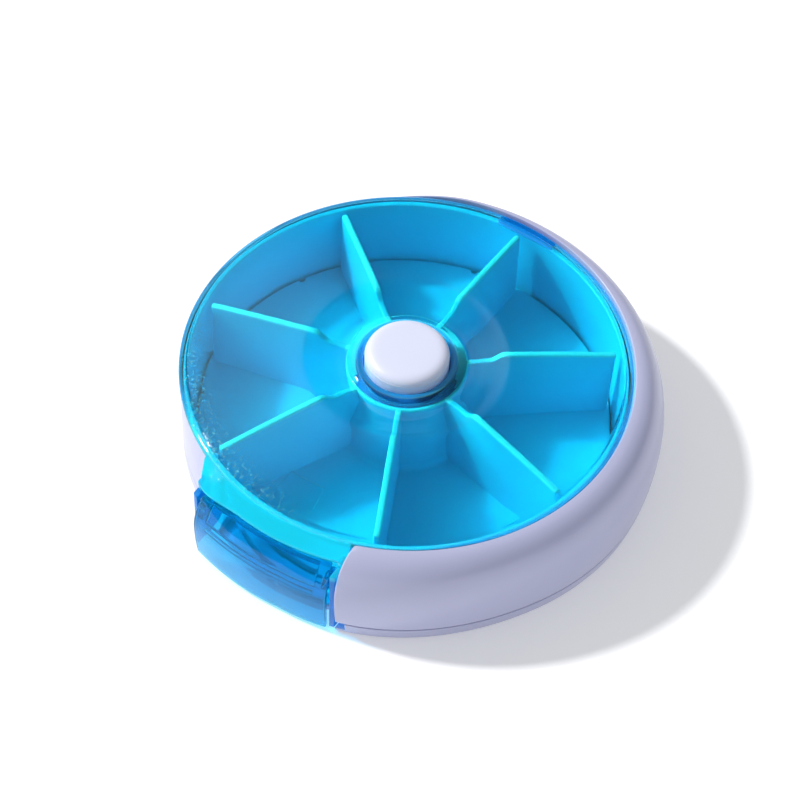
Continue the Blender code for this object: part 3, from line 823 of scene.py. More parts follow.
@dataclass
class SubAssembly:
    """Pieces that are dressed and handed to the frame together."""

    palette: Palette

    def dress(
        self, piece: bpy.types.Object, material: bpy.types.Material, body: Body, slot: Slot, *nodes: str
    ) -> bpy.types.Object:
        """Finish a piece and fix it to its body.

        Args:
            piece: The piece's object.
            material: Its only material.
            body: The body that it moves with.
            slot: The record's slot for its finish. It is not used.
            nodes: The frame's nodes that it stands for.

        Returns:
            The piece.
        """
        data = piece.data
        data.materials.clear()
        data.materials.append(material)
        data.polygons.foreach_set("material_index", [0] * len(data.polygons))
        data.shade_smooth()
        data.set_sharp_from_angle(angle=SHARP_ANGLE)
        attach(piece, body.value)
        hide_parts(*nodes)
        log.info("%s: %d faces on %s", piece.name, len(data.polygons), body.value)
        return piece


def case_screw_places() -> list[Point]:
    """The plan places of the four case screws, from their nodes."""
    places = []
    for index in range(1, 5):
        low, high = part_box(f"case_screw_{index}")
        places.append(((low.x + high.x) / 2, (low.y + high.y) / 2))
    return places


@dataclass
class Shells(SubAssembly):
    """The two white shells, parted just above the resting plane."""

    base_top: float = 1.4 * MM
    base_rim_top: float = 3.6 * MM
    shell_bottom: float = 3.9 * MM
    bore_r: float = 44.2 * MM
    drum_top: float = 19.9 * MM
    skin: float = 1.6 * MM
    lip_gap: float = 0.3 * MM
    lip_z: float = 21.9 * MM
    bulge: float = 0.87
    post_r: float = 2.2 * MM
    end_x: float = 16.2 * MM

    def build(self) -> None:
        """Build both shells."""
        self.dress(self.base(), self.palette.shell, Body.CASE, Slot.SHELL, "base_shell")
        self.dress(self.shell(), self.palette.shell, Body.CASE, Slot.SHELL, "body_shell")

    def base(self) -> bpy.types.Object:
        """The lower shell: a dish with the guide post, the bearing sleeve and the screw bosses."""
        foot, parting = 0.6 * MM, 0.25 * MM
        turns = [math.radians(90 * k / 4) for k in range(5)]
        edge = [(foot * (1 - math.sin(t)), foot * (1 - math.cos(t))) for t in turns]
        edge += [(0.0, z * MM) for z in (1.2, 1.8, 2.4, 3.0)]
        edge += [
            (parting * (1 - math.cos(t)), self.base_rim_top - parting * (1 - math.sin(t))) for t in turns]
        headings = spaced(0.0, 360.0, 241)[:-1]
        base = self.stack("base_shell_fine", edge, lambda heading, z: OUTLINE.side(heading, z), headings)
        dish = self.stack("dish", [(0.0, self.base_top), (0.0, 5 * MM)], self.dish_radius, headings)
        edge_r = 46.6 * MM
        corner = arc(edge_r, 249.5, 290.3, 40) + arc(60 * MM, 285.7, 249.5, 40)
        nose = prism("nose_cut", corner, -1 * MM, 5 * MM)
        merged(base, Merge.CUT, dish, nose)
        rail = turned("rail", rounded([(29, 1.2), (29, 2, 0.2), (30.5, 2, 0.2), (30.5, 1.2)]), 120)
        sleeve = turned("sleeve", rounded([(7, 1.2), (7, 7, 0.2), (8, 7, 0.2), (8, 1.2)]), 90)
        post = prism("post", arc(self.post_r, 0, 300, 6), 1.2 * MM, 13 * MM, 0.15 * MM)
        pad = [(0.0, 3.3 * MM), (2.7 * MM, 3.3 * MM), (2.7 * MM, 0.7 * MM), (0.0, 0.7 * MM)]
        bosses = [turned(f"boss_{i}", pad,
                         48, at) for i, at in enumerate(case_screw_places())]
        merged(base, Merge.FUSE, rail, sleeve, post, *bosses)
        low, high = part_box("detent_screw")
        detent = ((low.x + high.x) / 2, (low.y + high.y) / 2)
        holes = [self.hole(f"recess_{i}", 1.87, -1, 1.57, at) for i, at in enumerate(case_screw_places())]
        holes += [self.hole(f"bore_{i}", 1.1, 1, 5, at) for i, at in enumerate(case_screw_places())]
        holes.append(self.hole("detent_bore", 1.1, 0.4, 5, detent))
        return merged(base, Merge.CUT, *holes)

    def dish_radius(self, heading: float, height: float) -> float:
        """The inside of the base's rim, open towards the outlet."""
        if OUTLINE.outlet_start < heading < OUTLINE.outlet_end:
            return 60 * MM
        return max(OUTLINE.side(heading, self.base_top) - self.skin, self.bore_r)

    @staticmethod
    def hole(name: str, radius: float, bottom: float, top: float, at: Point) -> bpy.types.Object:
        """A round cutter, with its sizes in millimetres."""
        profile = [(0.0, top * MM), (radius * MM, top * MM), (radius * MM, bottom * MM), (0.0, bottom * MM)]
        return turned(name, profile, 40, at)

    @staticmethod
    def stack(
        name: str, edge: Loop, radius_at: Callable[[float, float], float], headings: Sequence[float]
    ) -> bpy.types.Object:
        """Stack plan outlines, each pulled in by an inset at its height.

        Args:
            name: The object's name.
            edge: The inset and the height of each outline.
            radius_at: Gives the radius at a heading and a height.
            headings: The headings of each outline's points.

        Returns:
            The solid.
        """
        shape = bmesh.new()
        rings = [
            [shape.verts.new(polar(radius_at(heading, z) - pull, heading, z)) for heading in headings]
            for pull, z in edge]
        bridge(shape, rings, closed=False)
        shape.faces.new(rings[0])
        shape.faces.new(rings[-1])
        return new_object(name, shape)

    def section(self, heading: float) -> list[Corner]:
        """The upper shell's section: the drum's outer wall, the lip round the cover and the side."""
        widest = OUTLINE.case(heading)
        lip_r = min(OUTLINE.rim_r + self.lip_gap, widest - 0.3 * MM)
        low_lip = self.drum_top + 0.1 * MM
        lip_z = low_lip + (self.lip_z - low_lip) * ease((widest - 45.9 * MM) / (1.8 * MM))
        side = []
        for turn in (8, 14, 21, 28, 36, 44, 52, 60, 68, 76, 83, 90):
            across, rise = math.sin(math.radians(turn)), math.cos(math.radians(turn))
            height = OUTLINE.widest_z + (lip_z - OUTLINE.widest_z) * max(rise, 0.0) ** self.bulge
            side.append((lip_r + (widest - lip_r) * across**self.bulge, height))
        side += [(OUTLINE.side(heading, height * MM), height * MM) for height in (9.2, 7.9, 6.6, 5.4, 4.6)]
        low = OUTLINE.side(heading, self.shell_bottom)
        bore, bottom, top = self.bore_r / MM, self.shell_bottom / MM, self.drum_top / MM
        lip = (lip_r / MM, lip_z / MM, min(0.25, (widest - lip_r) / MM * 0.3))
        return [(bore, bottom), (bore, top), (lip_r / MM, top), lip, *in_mm(side), (low / MM, bottom, 0.3)]

    def hollow(self, heading: float) -> list[Corner]:
        """The space inside the crescent."""
        inner_r = self.bore_r + 1.5 * MM
        widest = OUTLINE.widest(heading) - self.skin
        top = self.lip_z - self.skin
        section = [(inner_r, self.shell_bottom - 1 * MM)]
        for turn in (0, 15, 30, 45, 60, 75, 90):
            across, rise = math.sin(math.radians(turn)), math.cos(math.radians(turn))
            height = OUTLINE.widest_z + (top - OUTLINE.widest_z) * max(rise, 0.0) ** self.bulge
            section.append((inner_r + (widest - inner_r) * across**self.bulge, height))
        section.append((OUTLINE.side(heading, self.shell_bottom) - self.skin, self.shell_bottom - 1 * MM))
        return in_mm(section)

    def square_end(self, radius: float, heading: float) -> float:
        """Turns the shell's end face at the outlet square to the flap instead of radial."""
        face = 270.0 + math.degrees(math.asin(self.end_x / radius))
        return (face - OUTLINE.outlet_end) * (1.0 - ease((heading - OUTLINE.outlet_end) / 14.0))

    def shell(self) -> bpy.types.Object:
        """The upper shell: a crescent round the drum, open below and broken at the outlet."""
        start, end = OUTLINE.outlet_end, 360 + OUTLINE.outlet_start
        shell = swept("body_shell_fine", self.section, spaced(start, end, 216), (0.55, 0.08), self.square_end)
        hollow = swept("hollow", self.hollow, spaced(293.5, 460, 90))
        merged(shell, Merge.CUT, hollow)
        bosses = [self.hole(f"post_{i}", 1.9, 4.02, 17.3, at) for i, at in enumerate(case_screw_places())]
        merged(shell, Merge.FUSE, *bosses)
        bores = [self.hole(f"post_bore_{i}", 1.1, 1, 12, at) for i, at in enumerate(case_screw_places())]
        return merged(shell, Merge.CUT, *bores)


@dataclass
class Tray(SubAssembly):
    """The turning tray with its seven vanes."""

    compartments: int = 7
    vane_start: float = 11.0 * MM
    vane_r: float = 41.8 * MM
    vane_foot: float = 1.5 * MM
    vane_top: float = 1.25 * MM
    well_r: float = 16.65 * MM
    well_z: float = 20.4 * MM
    floor_z: float = 3.5 * MM
    floor_r: float = 42.4 * MM

    @property
    def step(self) -> float:
        """The angle from one compartment to the next, in degrees."""
        return 360.0 / self.compartments

    def build(self) -> None:
        """Build the tray."""
        edge = self.floor_r / MM
        profile = rounded([
            (10, 20.45, 0.15), (11.4, 20.45, 0.35), (11.75, 19.9, 0.3), (12.9, 4.6, 0.5), (13.6, 3.5, 0.7),
            (edge, 3.5, 0.1), (edge, 2.3, 0.15), (8.3, 2.3, 0.1), (8.3, 3.5, 0.1), (10, 3.5, 0.2)])
        tray = turned("pill_tray_fine", profile)
        vanes = [self.vane(index) for index in range(self.compartments)]
        ratchet = self.ratchet()
        merged(tray, Merge.FUSE, *vanes, ratchet)
        notches = [
            turned(f"notch_{i}", [(0.0, 5 * MM), (0.8 * MM, 5 * MM), (0.8 * MM, 1 * MM), (0.0, 1 * MM)], 32,
                   tuple(polar(self.floor_r, i * self.step)[:2]))
            for i in range(self.compartments)]
        merged(tray, Merge.CUT, *notches)
        self.dress(tray, self.palette.tray, Body.TRAY, Slot.TRAY, "pill_tray")

    def crest(self, radius: float) -> float:
        """A vane's top at a radius: it follows the dome and dips under the well."""
        outside = OUTLINE.dome(radius) - HEAD_ROOM
        return self.well_z + (outside - self.well_z) * ease((radius - self.well_r) / (3.1 * MM))

    def vane(self, index: int) -> bpy.types.Object:
        """One vane: upright, thinner towards its rounded top, with a rounded free end."""
        low = self.floor_z - 0.5 * MM
        end_round = 0.5 * MM
        radii = [self.vane_start, 13.5 * MM, 15.5 * MM, 16.5 * MM, *spaced(17.0 * MM, 19.5 * MM, 8)]
        radii += spaced(20.2 * MM, self.vane_r - end_round, 22)
        sections = [(radius, 1.0) for radius in radii]
        for k in (1, 2, 3, 4):
            turn = math.radians(90 * k / 4)
            reach = self.vane_r - end_round * (1 - math.sin(turn))
            sections.append((reach, 1.0 - (1 - math.cos(turn)) * 0.75))
        shape = bmesh.new()
        rings = []
        for radius, width in sections:
            top = self.crest(radius) - (1.0 - width) * 0.35 * MM
            half_low, half_top = (size / 2 * width for size in (self.vane_foot, self.vane_top))
            soft = min(0.32 * MM, half_top * 0.9)
            side = [(half_low, low), (half_top + 0.03 * MM, top - 1.2 * MM), (half_top, top - soft)]
            side += [
                (half_top - soft * (1 - math.cos(math.radians(a))),
                 top - soft * (1 - math.sin(math.radians(a))))
                for a in (30, 60, 90)]
            loop = side + [(-x, z) for x, z in side[::-1]]
            rings.append([shape.verts.new((radius, x, z)) for x, z in loop])
        bridge(shape, rings, closed=False)
        shape.faces.new(rings[0])
        shape.faces.new(rings[-1])
        shape.transform(Matrix.Rotation(math.radians(90 + index * self.step), 4, "Z"))
        return new_object(f"vane_{index}", shape)

    def ratchet(self) -> bpy.types.Object:
        """The ring of saw teeth inside the hub that the driver's pawls push."""
        root, tip, count = 9.85 * MM, 9.2 * MM, self.compartments
        inner: list[Vector] = []
        outer: list[Vector] = []
        for tooth in range(count):
            start = tooth * self.step
            middle = (root + tip) / 2
            marks = ((0.0, tip), (0.5, root), (8.0, root), (20.0, root), (32.0, middle), (46.0, tip))
            for heading, radius in marks:
                inner.append(polar(radius, start + heading))
                outer.append(polar(10.5 * MM, start + heading))
        shape = bmesh.new()
        rings = [
            [shape.verts.new((point.x, point.y, z)) for point in points]
            for points, z in ((inner, 7 * MM), (inner, 10.2 * MM), (outer, 10.2 * MM), (outer, 7 * MM))]
        bridge(shape, rings, closed=True)
        return new_object("ratchet", shape)


@dataclass
class Drum(SubAssembly):
    """The fixed cyan wall round the tray, and the stepped sill of its outlet."""

    inner_r: float = 43.0 * MM
    outlet_x: Point = (-12.9 * MM, 14.6 * MM)

    def build(self) -> None:
        """Build the wall and the sill."""
        wall = turned("drum_ring_fine", rounded([
            (43.0, 1.7, 0.1), (43.0, 10.0), (43.0, 19.9, 0.3),
            (43.9, 19.9, 0.2), (43.9, 10.0), (43.9, 1.7, 0.1)]))
        low, high = self.outlet_x
        corners = [(low / MM, 3.3, 0.8), (high / MM, 3.3, 0.8), (high / MM, 18.8, 0.8), (low / MM, 18.8, 0.8)]
        upright = Matrix.Rotation(math.radians(90), 4, "X")
        window = prism("drum_window", rounded(corners), 35 * MM, 60 * MM, turn=upright)
        slot = prism("drum_slot", rounded([(40, -2.2), (50, -2.2), (50, 2.2), (40, 2.2)]), 0.0, 3.9 * MM)
        merged(wall, Merge.CUT, window, slot)
        self.dress(wall, self.palette.drum, Body.CASE, Slot.TRAY, "drum_ring")
        section = [
            (44.2, 1.7, 0.1), (44.2, 3.3, 0.25), (45.2, 3.3, 0.2),
            (45.4, 2.7, 0.15), (46.6, 2.4, 0.2), (46.6, 1.7)]
        sill = swept("outlet_sill_fine", lambda heading: section, spaced(254.6, 287.6, 50), (0.15, 0.15))
        self.dress(sill, self.palette.drum, Body.CASE, Slot.TRAY, "outlet_sill")


@dataclass
class Cover(SubAssembly):
    """The clear cover: a shallow dome, the well and collar round the button, and the outlet's hood."""

    skin: float = 1.5 * MM
    roof_r: float = 47.9 * MM
    roof_z: float = 19.0 * MM
    roof_lean: float = 1.2 * MM
    pin_hole_r: float = 0.9 * MM
    pivot: Point = (-45.8 * MM, 14.0 * MM)
    snap_headings: Point = (79.5, 97.0)
    mark_headings: Point = (265.5, 277.5)
    mark_radii: Point = (35.5 * MM, 42.6 * MM)

    def build(self) -> None:
        """Build the cover."""
        cover = turned("cover_fine", self.profile())
        roof = swept("roof", self.roof_section, spaced(245.0, 290.0, 90), (0.1, 0.2))
        left = [(-18.0, -42.3, 0.1), (-16.75, -42.3, 0.1), (-16.75, -47.3, 0.2), (-18.0, -46.8, 0.4)]
        stem = [(-17.95, -42.6, 0.1), (-16.8, -42.6, 0.1), (-16.8, -45.8, 0.2), (-17.95, -45.3, 0.4)]
        right = [(15.1, -44.0, 0.1), (16.1, -44.0, 0.1), (16.1, -48.6, 0.2), (15.1, -48.9, 0.1)]
        solids = [
            roof,
            prism("left_cheek", rounded(left), 1.7 * MM, 16.6 * MM, 0.15 * MM),
            prism("left_stem", rounded(stem), 16 * MM, 18.7 * MM, 0.1 * MM),
            prism("right_cheek", rounded(right), 1.7 * MM, 18.2 * MM, 0.12 * MM),
            prism(
                "bridge", rounded([(15.1, -46.2), (16.1, -46.2), (16.1, -44), (15.1, -44)]),
                17 * MM, 19.8 * MM),
            *self.marks()]
        merged(cover, Merge.FUSE, *solids)
        holes = rod_along_x("pin_holes", self.pin_hole_r, (-20 * MM, 20 * MM), *self.pivot)
        start, end = self.snap_headings
        window = prism(
            "snap_window", arc(43.05 * MM, start, end, 24) + arc(44.4 * MM, end, start, 24), 19 * MM, 23 * MM)
        merged(cover, Merge.CUT, holes, window)
        self.dress(cover, self.palette.cover, Body.CASE, Slot.CLEAR, "cover")

    def profile(self) -> Loop:
        """The turned section, with a stepped flange at the rim and a raised lip round the button."""
        dome = [(r, OUTLINE.dome(r * MM) / MM) for r in (22, 25, 28, 31, 34, 36.5, 39, 41, 42.6)]
        inside = [(r, z - self.skin / MM) for r, z in dome[::-1] if r < 42.5]
        inside.append((20.0, OUTLINE.dome(20 * MM) / MM - self.skin / MM, 1.5))
        top = [
            (8.7, 22.5, 0.3), (9.2, 22.9, 0.3), (10.9, 22.9, 0.4), (11.6, 22.4, 0.3), (11.9, 22.0, 0.3),
            (12.9, 22.0, 0.8), (19.4, 24.07, 2.4)]
        rim = [
            (43.35, 21.95, 0.15), (43.6, 21.72, 0.12), (44.4, 21.6, 0.25), (45, 21.2, 0.35), (45, 20.3, 0.15),
            (42.9, 20.3, 0.2)]
        well = [(15.2, 21.0, 1.5), (13.4, 20.8, 0.8), (9.7, 20.8, 0.3), (9.6, 17.3, 0.12), (8.7, 17.3, 0.12)]
        return rounded([*top, *dome, *rim, *inside, *well])

    def roof_section(self, heading: float) -> list[Corner]:
        """The hood's roof: it flares out of the rim, with a thick rounded lower edge."""
        full = self.roof_r + self.roof_lean * ease((262.0 - heading) / 12.0)
        reach = (OUTLINE.slim_r + (full - OUTLINE.slim_r) * ease((heading - 243.0) / 8.0)) / MM
        beyond = self.roof_r / MM - reach
        edge_z = self.roof_z / MM + beyond * (0.83 if beyond > 0.0 else 0.33)
        return [
            (43.6, 20.42, 0.1), (45.1, 20.25), (reach - 0.2, edge_z - 1.0, 0.25), (reach, edge_z, 0.35),
            (44.6, 21.48, 0.5), (43.6, 21.55)]

    def marks(self) -> list[bpy.types.Object]:
        """The faint raised frame of a plate mark on the dome."""
        wide, proud = 0.16 * MM, 0.05 * MM
        low, high = self.mark_radii

        def across(heading: float) -> list[Corner]:
            """The section of the ridge nearest the middle."""
            top = OUTLINE.dome(low) + proud
            return in_mm([(low, top - 0.3 * MM), (low + wide, top - 0.3 * MM), (low + wide, top), (low, top)])

        ridges = [swept("mark_arc", across, spaced(*self.mark_headings, 16))]
        for index, heading in enumerate(self.mark_headings):
            shape = bmesh.new()
            rings = []
            for radius in spaced(low, high, 12):
                top = OUTLINE.dome(radius) + proud
                side = polar(1.0, heading + 90) * (wide / 2)
                rings.append([
                    shape.verts.new(polar(radius, heading, z) + side * sign)
                    for sign, z in ((-1, top - 0.3 * MM), (1, top - 0.3 * MM), (1, top), (-1, top))])
            bridge(shape, rings, closed=False)
            shape.faces.new(rings[0])
            shape.faces.new(rings[-1])
            ridges.append(new_object(f"mark_side_{index}", shape))
        return ridges


@dataclass
class Flap(SubAssembly):
    """The clear flap over the outlet, with a hinge rail and a lug at each end."""

    top_z: float = 17.4 * MM
    low_z: float = 0.9 * MM
    skin: float = 1.3 * MM
    belly_z: float = 10.0 * MM
    top_r: float = 48.3 * MM
    lean: float = 1.2 * MM
    tuck: float = 0.6 * MM
    pivot: Point = (-45.8 * MM, 14.0 * MM)
    bore_r: float = 0.9 * MM
    lugs: tuple[tuple[float, float, float], ...] = ((-15.7, -14.4, -47.8), (13.0, 14.3, -48.2))

    def build(self) -> None:
        """Build the flap and its pins."""
        flap = swept("outlet_door_fine", self.section, spaced(251.4, 286.5, 100), (0.25, 0.25))
        rails = [
            swept("hinge_rail", lambda heading: self.rail(heading, 12.3 * MM, 16.3 * MM),
                  spaced(254.2, 283.6, 60),
                  (0.15, 0.15)),
            swept("grip_rail", lambda heading: self.rail(heading, 10.3 * MM, 11.1 * MM, 0.35 * MM),
                  spaced(254.5, 283.3, 60), (0.12, 0.12))]
        merged(flap, Merge.FUSE, *rails, *(self.lug(index) for index in range(len(self.lugs))))
        bore = rod_along_x("bore", self.bore_r, (-16.0 * MM, 14.6 * MM), *self.pivot)
        merged(flap, Merge.CUT, bore)
        self.dress(flap, self.palette.flap, Body.DOOR, Slot.CLEAR, "outlet_door")
        for name in ("door_pin_left", "door_pin_right"):
            low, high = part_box(name)
            radius = (high.z - low.z) / 2
            pin = rod_along_x(name + "_fine", radius, (low.x, high.x), *self.pivot, 0.12 * MM)
            self.dress(pin, self.palette.steel, Body.CASE, Slot.STEEL, name)

    def face(self, heading: float, height: float) -> float:
        """The bulging outer face's radius."""
        widest = OUTLINE.widest(heading)
        if height > self.belly_z:
            top_r = min(self.top_r + self.lean * ease((262.0 - heading) / 11.0), widest - 0.8 * MM)
            return widest - (widest - top_r) * ((height - self.belly_z) / (self.top_z - self.belly_z)) ** 2
        return widest - self.tuck * ((self.belly_z - height) / (self.belly_z - self.low_z)) ** 2

    def section(self, heading: float) -> list[Corner]:
        """The flap's own section, rounded along its top and bottom edges."""
        outer = [(self.face(heading, z), z) for z in spaced(self.top_z, self.low_z, 12)]
        corners = in_mm(outer + [(r - self.skin, z) for r, z in outer[::-1]])
        ends = (0, len(outer) - 1, len(outer), len(corners) - 1)
        return [(*corner, 0.35) if index in ends else corner for index, corner in enumerate(corners)]

    def rail(self, heading: float, low: float, high: float, thick: float = 0.6 * MM) -> list[Corner]:
        """A rib on the inner face between two heights."""
        marks = spaced(low, high, 3)
        outer = [(self.face(heading, z) - self.skin + 0.3 * MM, z) for z in marks]
        corners = in_mm(outer + [(self.face(heading, z) - self.skin - thick, z) for z in marks[::-1]])
        ends = (len(outer), len(corners) - 1)
        return [(*corner, 0.2) if index in ends else corner for index, corner in enumerate(corners)]

    def lug(self, index: int) -> bpy.types.Object:
        """One lug, seen from the side as an eye joined to the face."""
        left, right, reach = self.lugs[index]
        y, z = self.pivot
        size = 1.6 * MM
        eye = [(y + across, z + up) for across, up in arc(size, -90, 90, 25)]
        outline = eye + [(reach * MM, z + size), ((reach - 0.6) * MM, z - size)]
        upright = Matrix(((0, 0, 1, 0), (1, 0, 0, 0), (0, 1, 0, 0), (0, 0, 0, 1)))
        return prism(f"lug_{index}", outline, left * MM, right * MM, 0.1 * MM, upright)


@dataclass
class Button(SubAssembly):
    """The white push button."""

    def build(self) -> None:
        """Build the cap, with the fine step below its rounded top edge."""
        profile = rounded([
            (0, 25.8), (5.2, 25.78), (6.9, 25.72, 0.9), (7.9, 25.2, 0.8), (8.3, 24.5, 0.25), (8.25, 24.35, 0.05),
            (8.4, 24.2, 0.1), (8.4, 17.0, 0.1), (9.3, 17, 0.15), (9.3, 16, 0.15), (7.2, 16, 0.1),
            (7.2, 23.6, 0.3), (5.3, 23.6, 0.2), (5.3, 21.4, 0.1), (4.3, 21.4, 0.1), (4.3, 23.6, 0.2), (0, 23.6)])
        cap = turned("button_cap_fine", profile, 144)
        self.dress(cap, self.palette.button, Body.BUTTON, Slot.BUTTON, "button_cap")


@dataclass
class Drive(SubAssembly):
    """What turns the tray when the button goes down: plunger, driver ring, washer and springs."""

    stroke: float = 3.0 * MM
    lead: float = 21.0 * MM
    threads: int = 3
    spring_r: float = 6.05 * MM
    spring_wire: float = 0.35 * MM
    spring_turns: float = 5.5

    def build(self) -> None:
        """Build every piece of the drive."""
        self.plunger()
        self.driver()
        washer = turned("spring_washer_fine", rounded([
            (5.4, 11.3, 0.1), (5.4, 11.8, 0.1), (6.8, 11.8, 0.1), (6.8, 11.3, 0.1)]), 96)
        self.dress(washer, self.palette.steel, Body.DRIVER, Slot.STEEL, "spring_washer")
        self.return_spring()
        self.detent()

    def thread(self, name: str, radii: Point, width: float, heights: Point, start: float) -> bpy.types.Object:
        """One steep right-hand thread.

        Args:
            name: The object's name.
            radii: Its inner and outer radius.
            width: How many degrees it is wide.
            heights: Its bottom and top.
            start: Its heading at height zero.

        Returns:
            The solid.
        """
        shape = bmesh.new()
        rings = []
        for height in spaced(*heights, 24):
            turn = start + 360 * height / self.lead
            outer = [polar(radii[1], turn + width * share, height) for share in spaced(-0.46, 0.46, 7)]
            inner = [polar(radii[0], turn + width * share, height) for share in spaced(0.5, -0.5, 7)]
            rings.append([shape.verts.new(point) for point in outer + inner])
        bridge(shape, rings, closed=False)
        shape.faces.new(rings[0])
        shape.faces.new(rings[-1])
        return new_object(name, shape)

    def plunger(self) -> None:
        """The plunger: a threaded stem with a six-sided bore."""
        stem = turned("plunger_fine", rounded([
            (0, 23.3), (3.9, 23.3, 0.2), (3.9, 5, 0.2), (0, 5)]), 72)
        ribs = [
            self.thread(f"rib_{i}", (3.4 * MM, 5 * MM), 40, (5.2 * MM, 11 * MM), i * 360 / self.threads)
            for i in range(self.threads)]
        merged(stem, Merge.FUSE, *ribs)
        merged(stem, Merge.CUT, prism("bore", arc(2.6 * MM, 0, 300, 6), 4 * MM, 16.5 * MM))
        self.dress(stem, self.palette.acetal, Body.BUTTON, Slot.ACETAL, "plunger")

    def driver(self) -> None:
        """The driver ring: threads inside, sprung pawls outside."""
        ring = turned("driver_ring_fine", rounded([
            (5.3, 3, 0.1), (5.3, 11, 0.15), (6.7, 11, 0.15), (6.7, 9.8, 0.1), (7.6, 9.8, 0.1), (7.6, 7.3, 0.1),
            (6.7, 7.3, 0.1), (6.7, 3, 0.15)]), 96)
        ribs = [
            self.thread(
                f"lug_{i}", (4.2 * MM, 5.7 * MM), 60, (4 * MM, 9 * MM), 60 + i * 360 / self.threads)
            for i in range(self.threads)]
        pawls = []
        for tooth in (0, 2, 5):
            turn = tooth * 360 / 7
            marks = ((7.2, -26), (7.55, -23), (7.9, -20), (8.4, -12), (8.85, -3.5), (8.85, 0), (7.2, 2))
            outline = [tuple(polar(radius * MM, heading + turn)[:2]) for radius, heading in marks]
            pawls.append(prism(f"pawl_{tooth}", outline, 7.6 * MM, 9.5 * MM, 0.06 * MM))
        merged(ring, Merge.FUSE, *ribs, *pawls)
        self.dress(ring, self.palette.acetal, Body.DRIVER, Slot.ACETAL, "driver_ring")

    def return_spring(self) -> None:
        """The return spring, with its end turns closed."""
        low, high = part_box("return_spring")
        bottom, top = low.z + self.spring_wire, high.z - self.spring_wire
        count, sides = 330, 14
        shape = bmesh.new()
        rings = []
        for index in range(count + 1):
            share = index / count
            turns = self.spring_turns * share
            rise = ease_ends(share)
            heading = 360 * turns
            middle = polar(self.spring_r, heading, bottom + (top - bottom) * rise)
            outward = polar(1.0, heading)
            rings.append([
                shape.verts.new(
                    middle + outward * self.spring_wire * math.cos(math.tau * k / sides)
                    + Vector((0.0, 0.0, self.spring_wire * math.sin(math.tau * k / sides))))
                for k in range(sides)])
        bridge(shape, rings, closed=False)
        shape.faces.new(rings[0])
        shape.faces.new(rings[-1])
        spring = new_object("return_spring_fine", shape)
        self.dress(spring, self.palette.steel, Body.CASE, Slot.STEEL, "return_spring")
        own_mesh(spring)

    def detent(self) -> None:
        """The detent leaf, whose nose clicks into the tray's notches."""
        low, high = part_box("detent_screw")
        at = Vector(((low.x + high.x) / 2, (low.y + high.y) / 2))
        arm = [
            (46.3, 4.9, 0.3), (45.2, 2.6, 0.6), (44.9, 1.3, 0.4), (43.1, 0.0, 0.3), (44.9, -1.3, 0.4),
            (45.3, -3.2, 0.1), (45.8, -3.2, 0.1), (45.8, -1.2, 0.4), (44.1, 0.0, 0.3), (45.8, 1.2, 0.4),
            (46.4, 3.2, 0.6), (47.5, 4.74, 0.2)]
        eye = [tuple(at + Vector(point)) for point in arc(1.9 * MM, -74, 241, 36)]
        leaf = prism("detent_spring_fine", rounded(arm) + eye, 1.8 * MM, 3.4 * MM, 0.05 * MM)
        merged(leaf, Merge.CUT, Shells.hole("eye_hole", 1.1, 1, 5, tuple(at)))
        self.dress(leaf, self.palette.acetal, Body.CASE, Slot.ACETAL, "detent_spring")


def ease_ends(share: float) -> float:
    """The rise along a spring whose end turns lie closer together."""
    return share - 0.08 * math.sin(math.tau * share)


@dataclass
class Screws(SubAssembly):
    """The case screws and the detent's screw, with threads and cross recesses."""

    head_r: float = 1.6 * MM
    shaft_r: float = 0.8 * MM
    pitch: float = 0.6 * MM

    def build(self) -> None:
        """Build every screw where its node is."""
        for name in ("case_screw_1", "case_screw_2", "case_screw_3", "case_screw_4", "detent_screw"):
            low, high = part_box(name)
            at = ((low.x + high.x) / 2, (low.y + high.y) / 2)
            head_up = name == "detent_screw"
            head, point = (high.z, low.z) if head_up else (low.z, high.z)
            self.dress(
                self.screw(name + "_fine", at, head, point), self.palette.steel, Body.CASE, Slot.STEEL, name)

    def screw(self, name: str, at: Point, head: float, point: float) -> bpy.types.Object:
        """One pan-head screw.

        Args:
            name: The object's name.
            at: Its place in plan.
            head: The height of its head's face.
            point: The height of its point.

        Returns:
            The solid.
        """
        up = 1 if head > point else -1
        neck = head - up * 0.9 * MM
        profile = [(0.0, head), (self.head_r * 0.7, head)]
        for k in range(1, 6):
            turn = math.radians(90 * k / 5)
            profile.append((
                self.head_r * (0.7 + 0.3 * math.sin(turn)), head - up * 0.35 * MM * (1 - math.cos(turn))))
        profile += [(self.head_r, neck), (self.shaft_r * 0.85, neck)]
        turns = int((abs(neck - point) - 1.2 * MM) / self.pitch)
        for index in range(turns):
            start = neck - up * (0.3 * MM + index * self.pitch)
            profile += [
                (self.shaft_r * 0.8, start), (self.shaft_r, start - up * self.pitch * 0.4),
                (self.shaft_r * 0.8, start - up * self.pitch * 0.8)]
        profile += [(self.shaft_r * 0.8, point + up * 0.75 * MM), (0.0, point)]
        screw = turned(name, profile, 36, at)
        half = Vector((self.head_r * 0.55, 0.17 * MM))
        arms = [(-half.x, -half.y), (half.x, -half.y), (half.x, half.y), (-half.x, half.y)]
        for turn in (20, 110):
            place = Matrix.Translation((*at, 0.0)) @ Matrix.Rotation(math.radians(turn), 4, "Z")
            low, high = sorted((head - up * 0.4 * MM, head + up * 0.4 * MM))
            merged(screw, Merge.CUT, prism("recess", arms, low, high, turn=place))
        return screw


# ---------------------------------------------------------------- studio


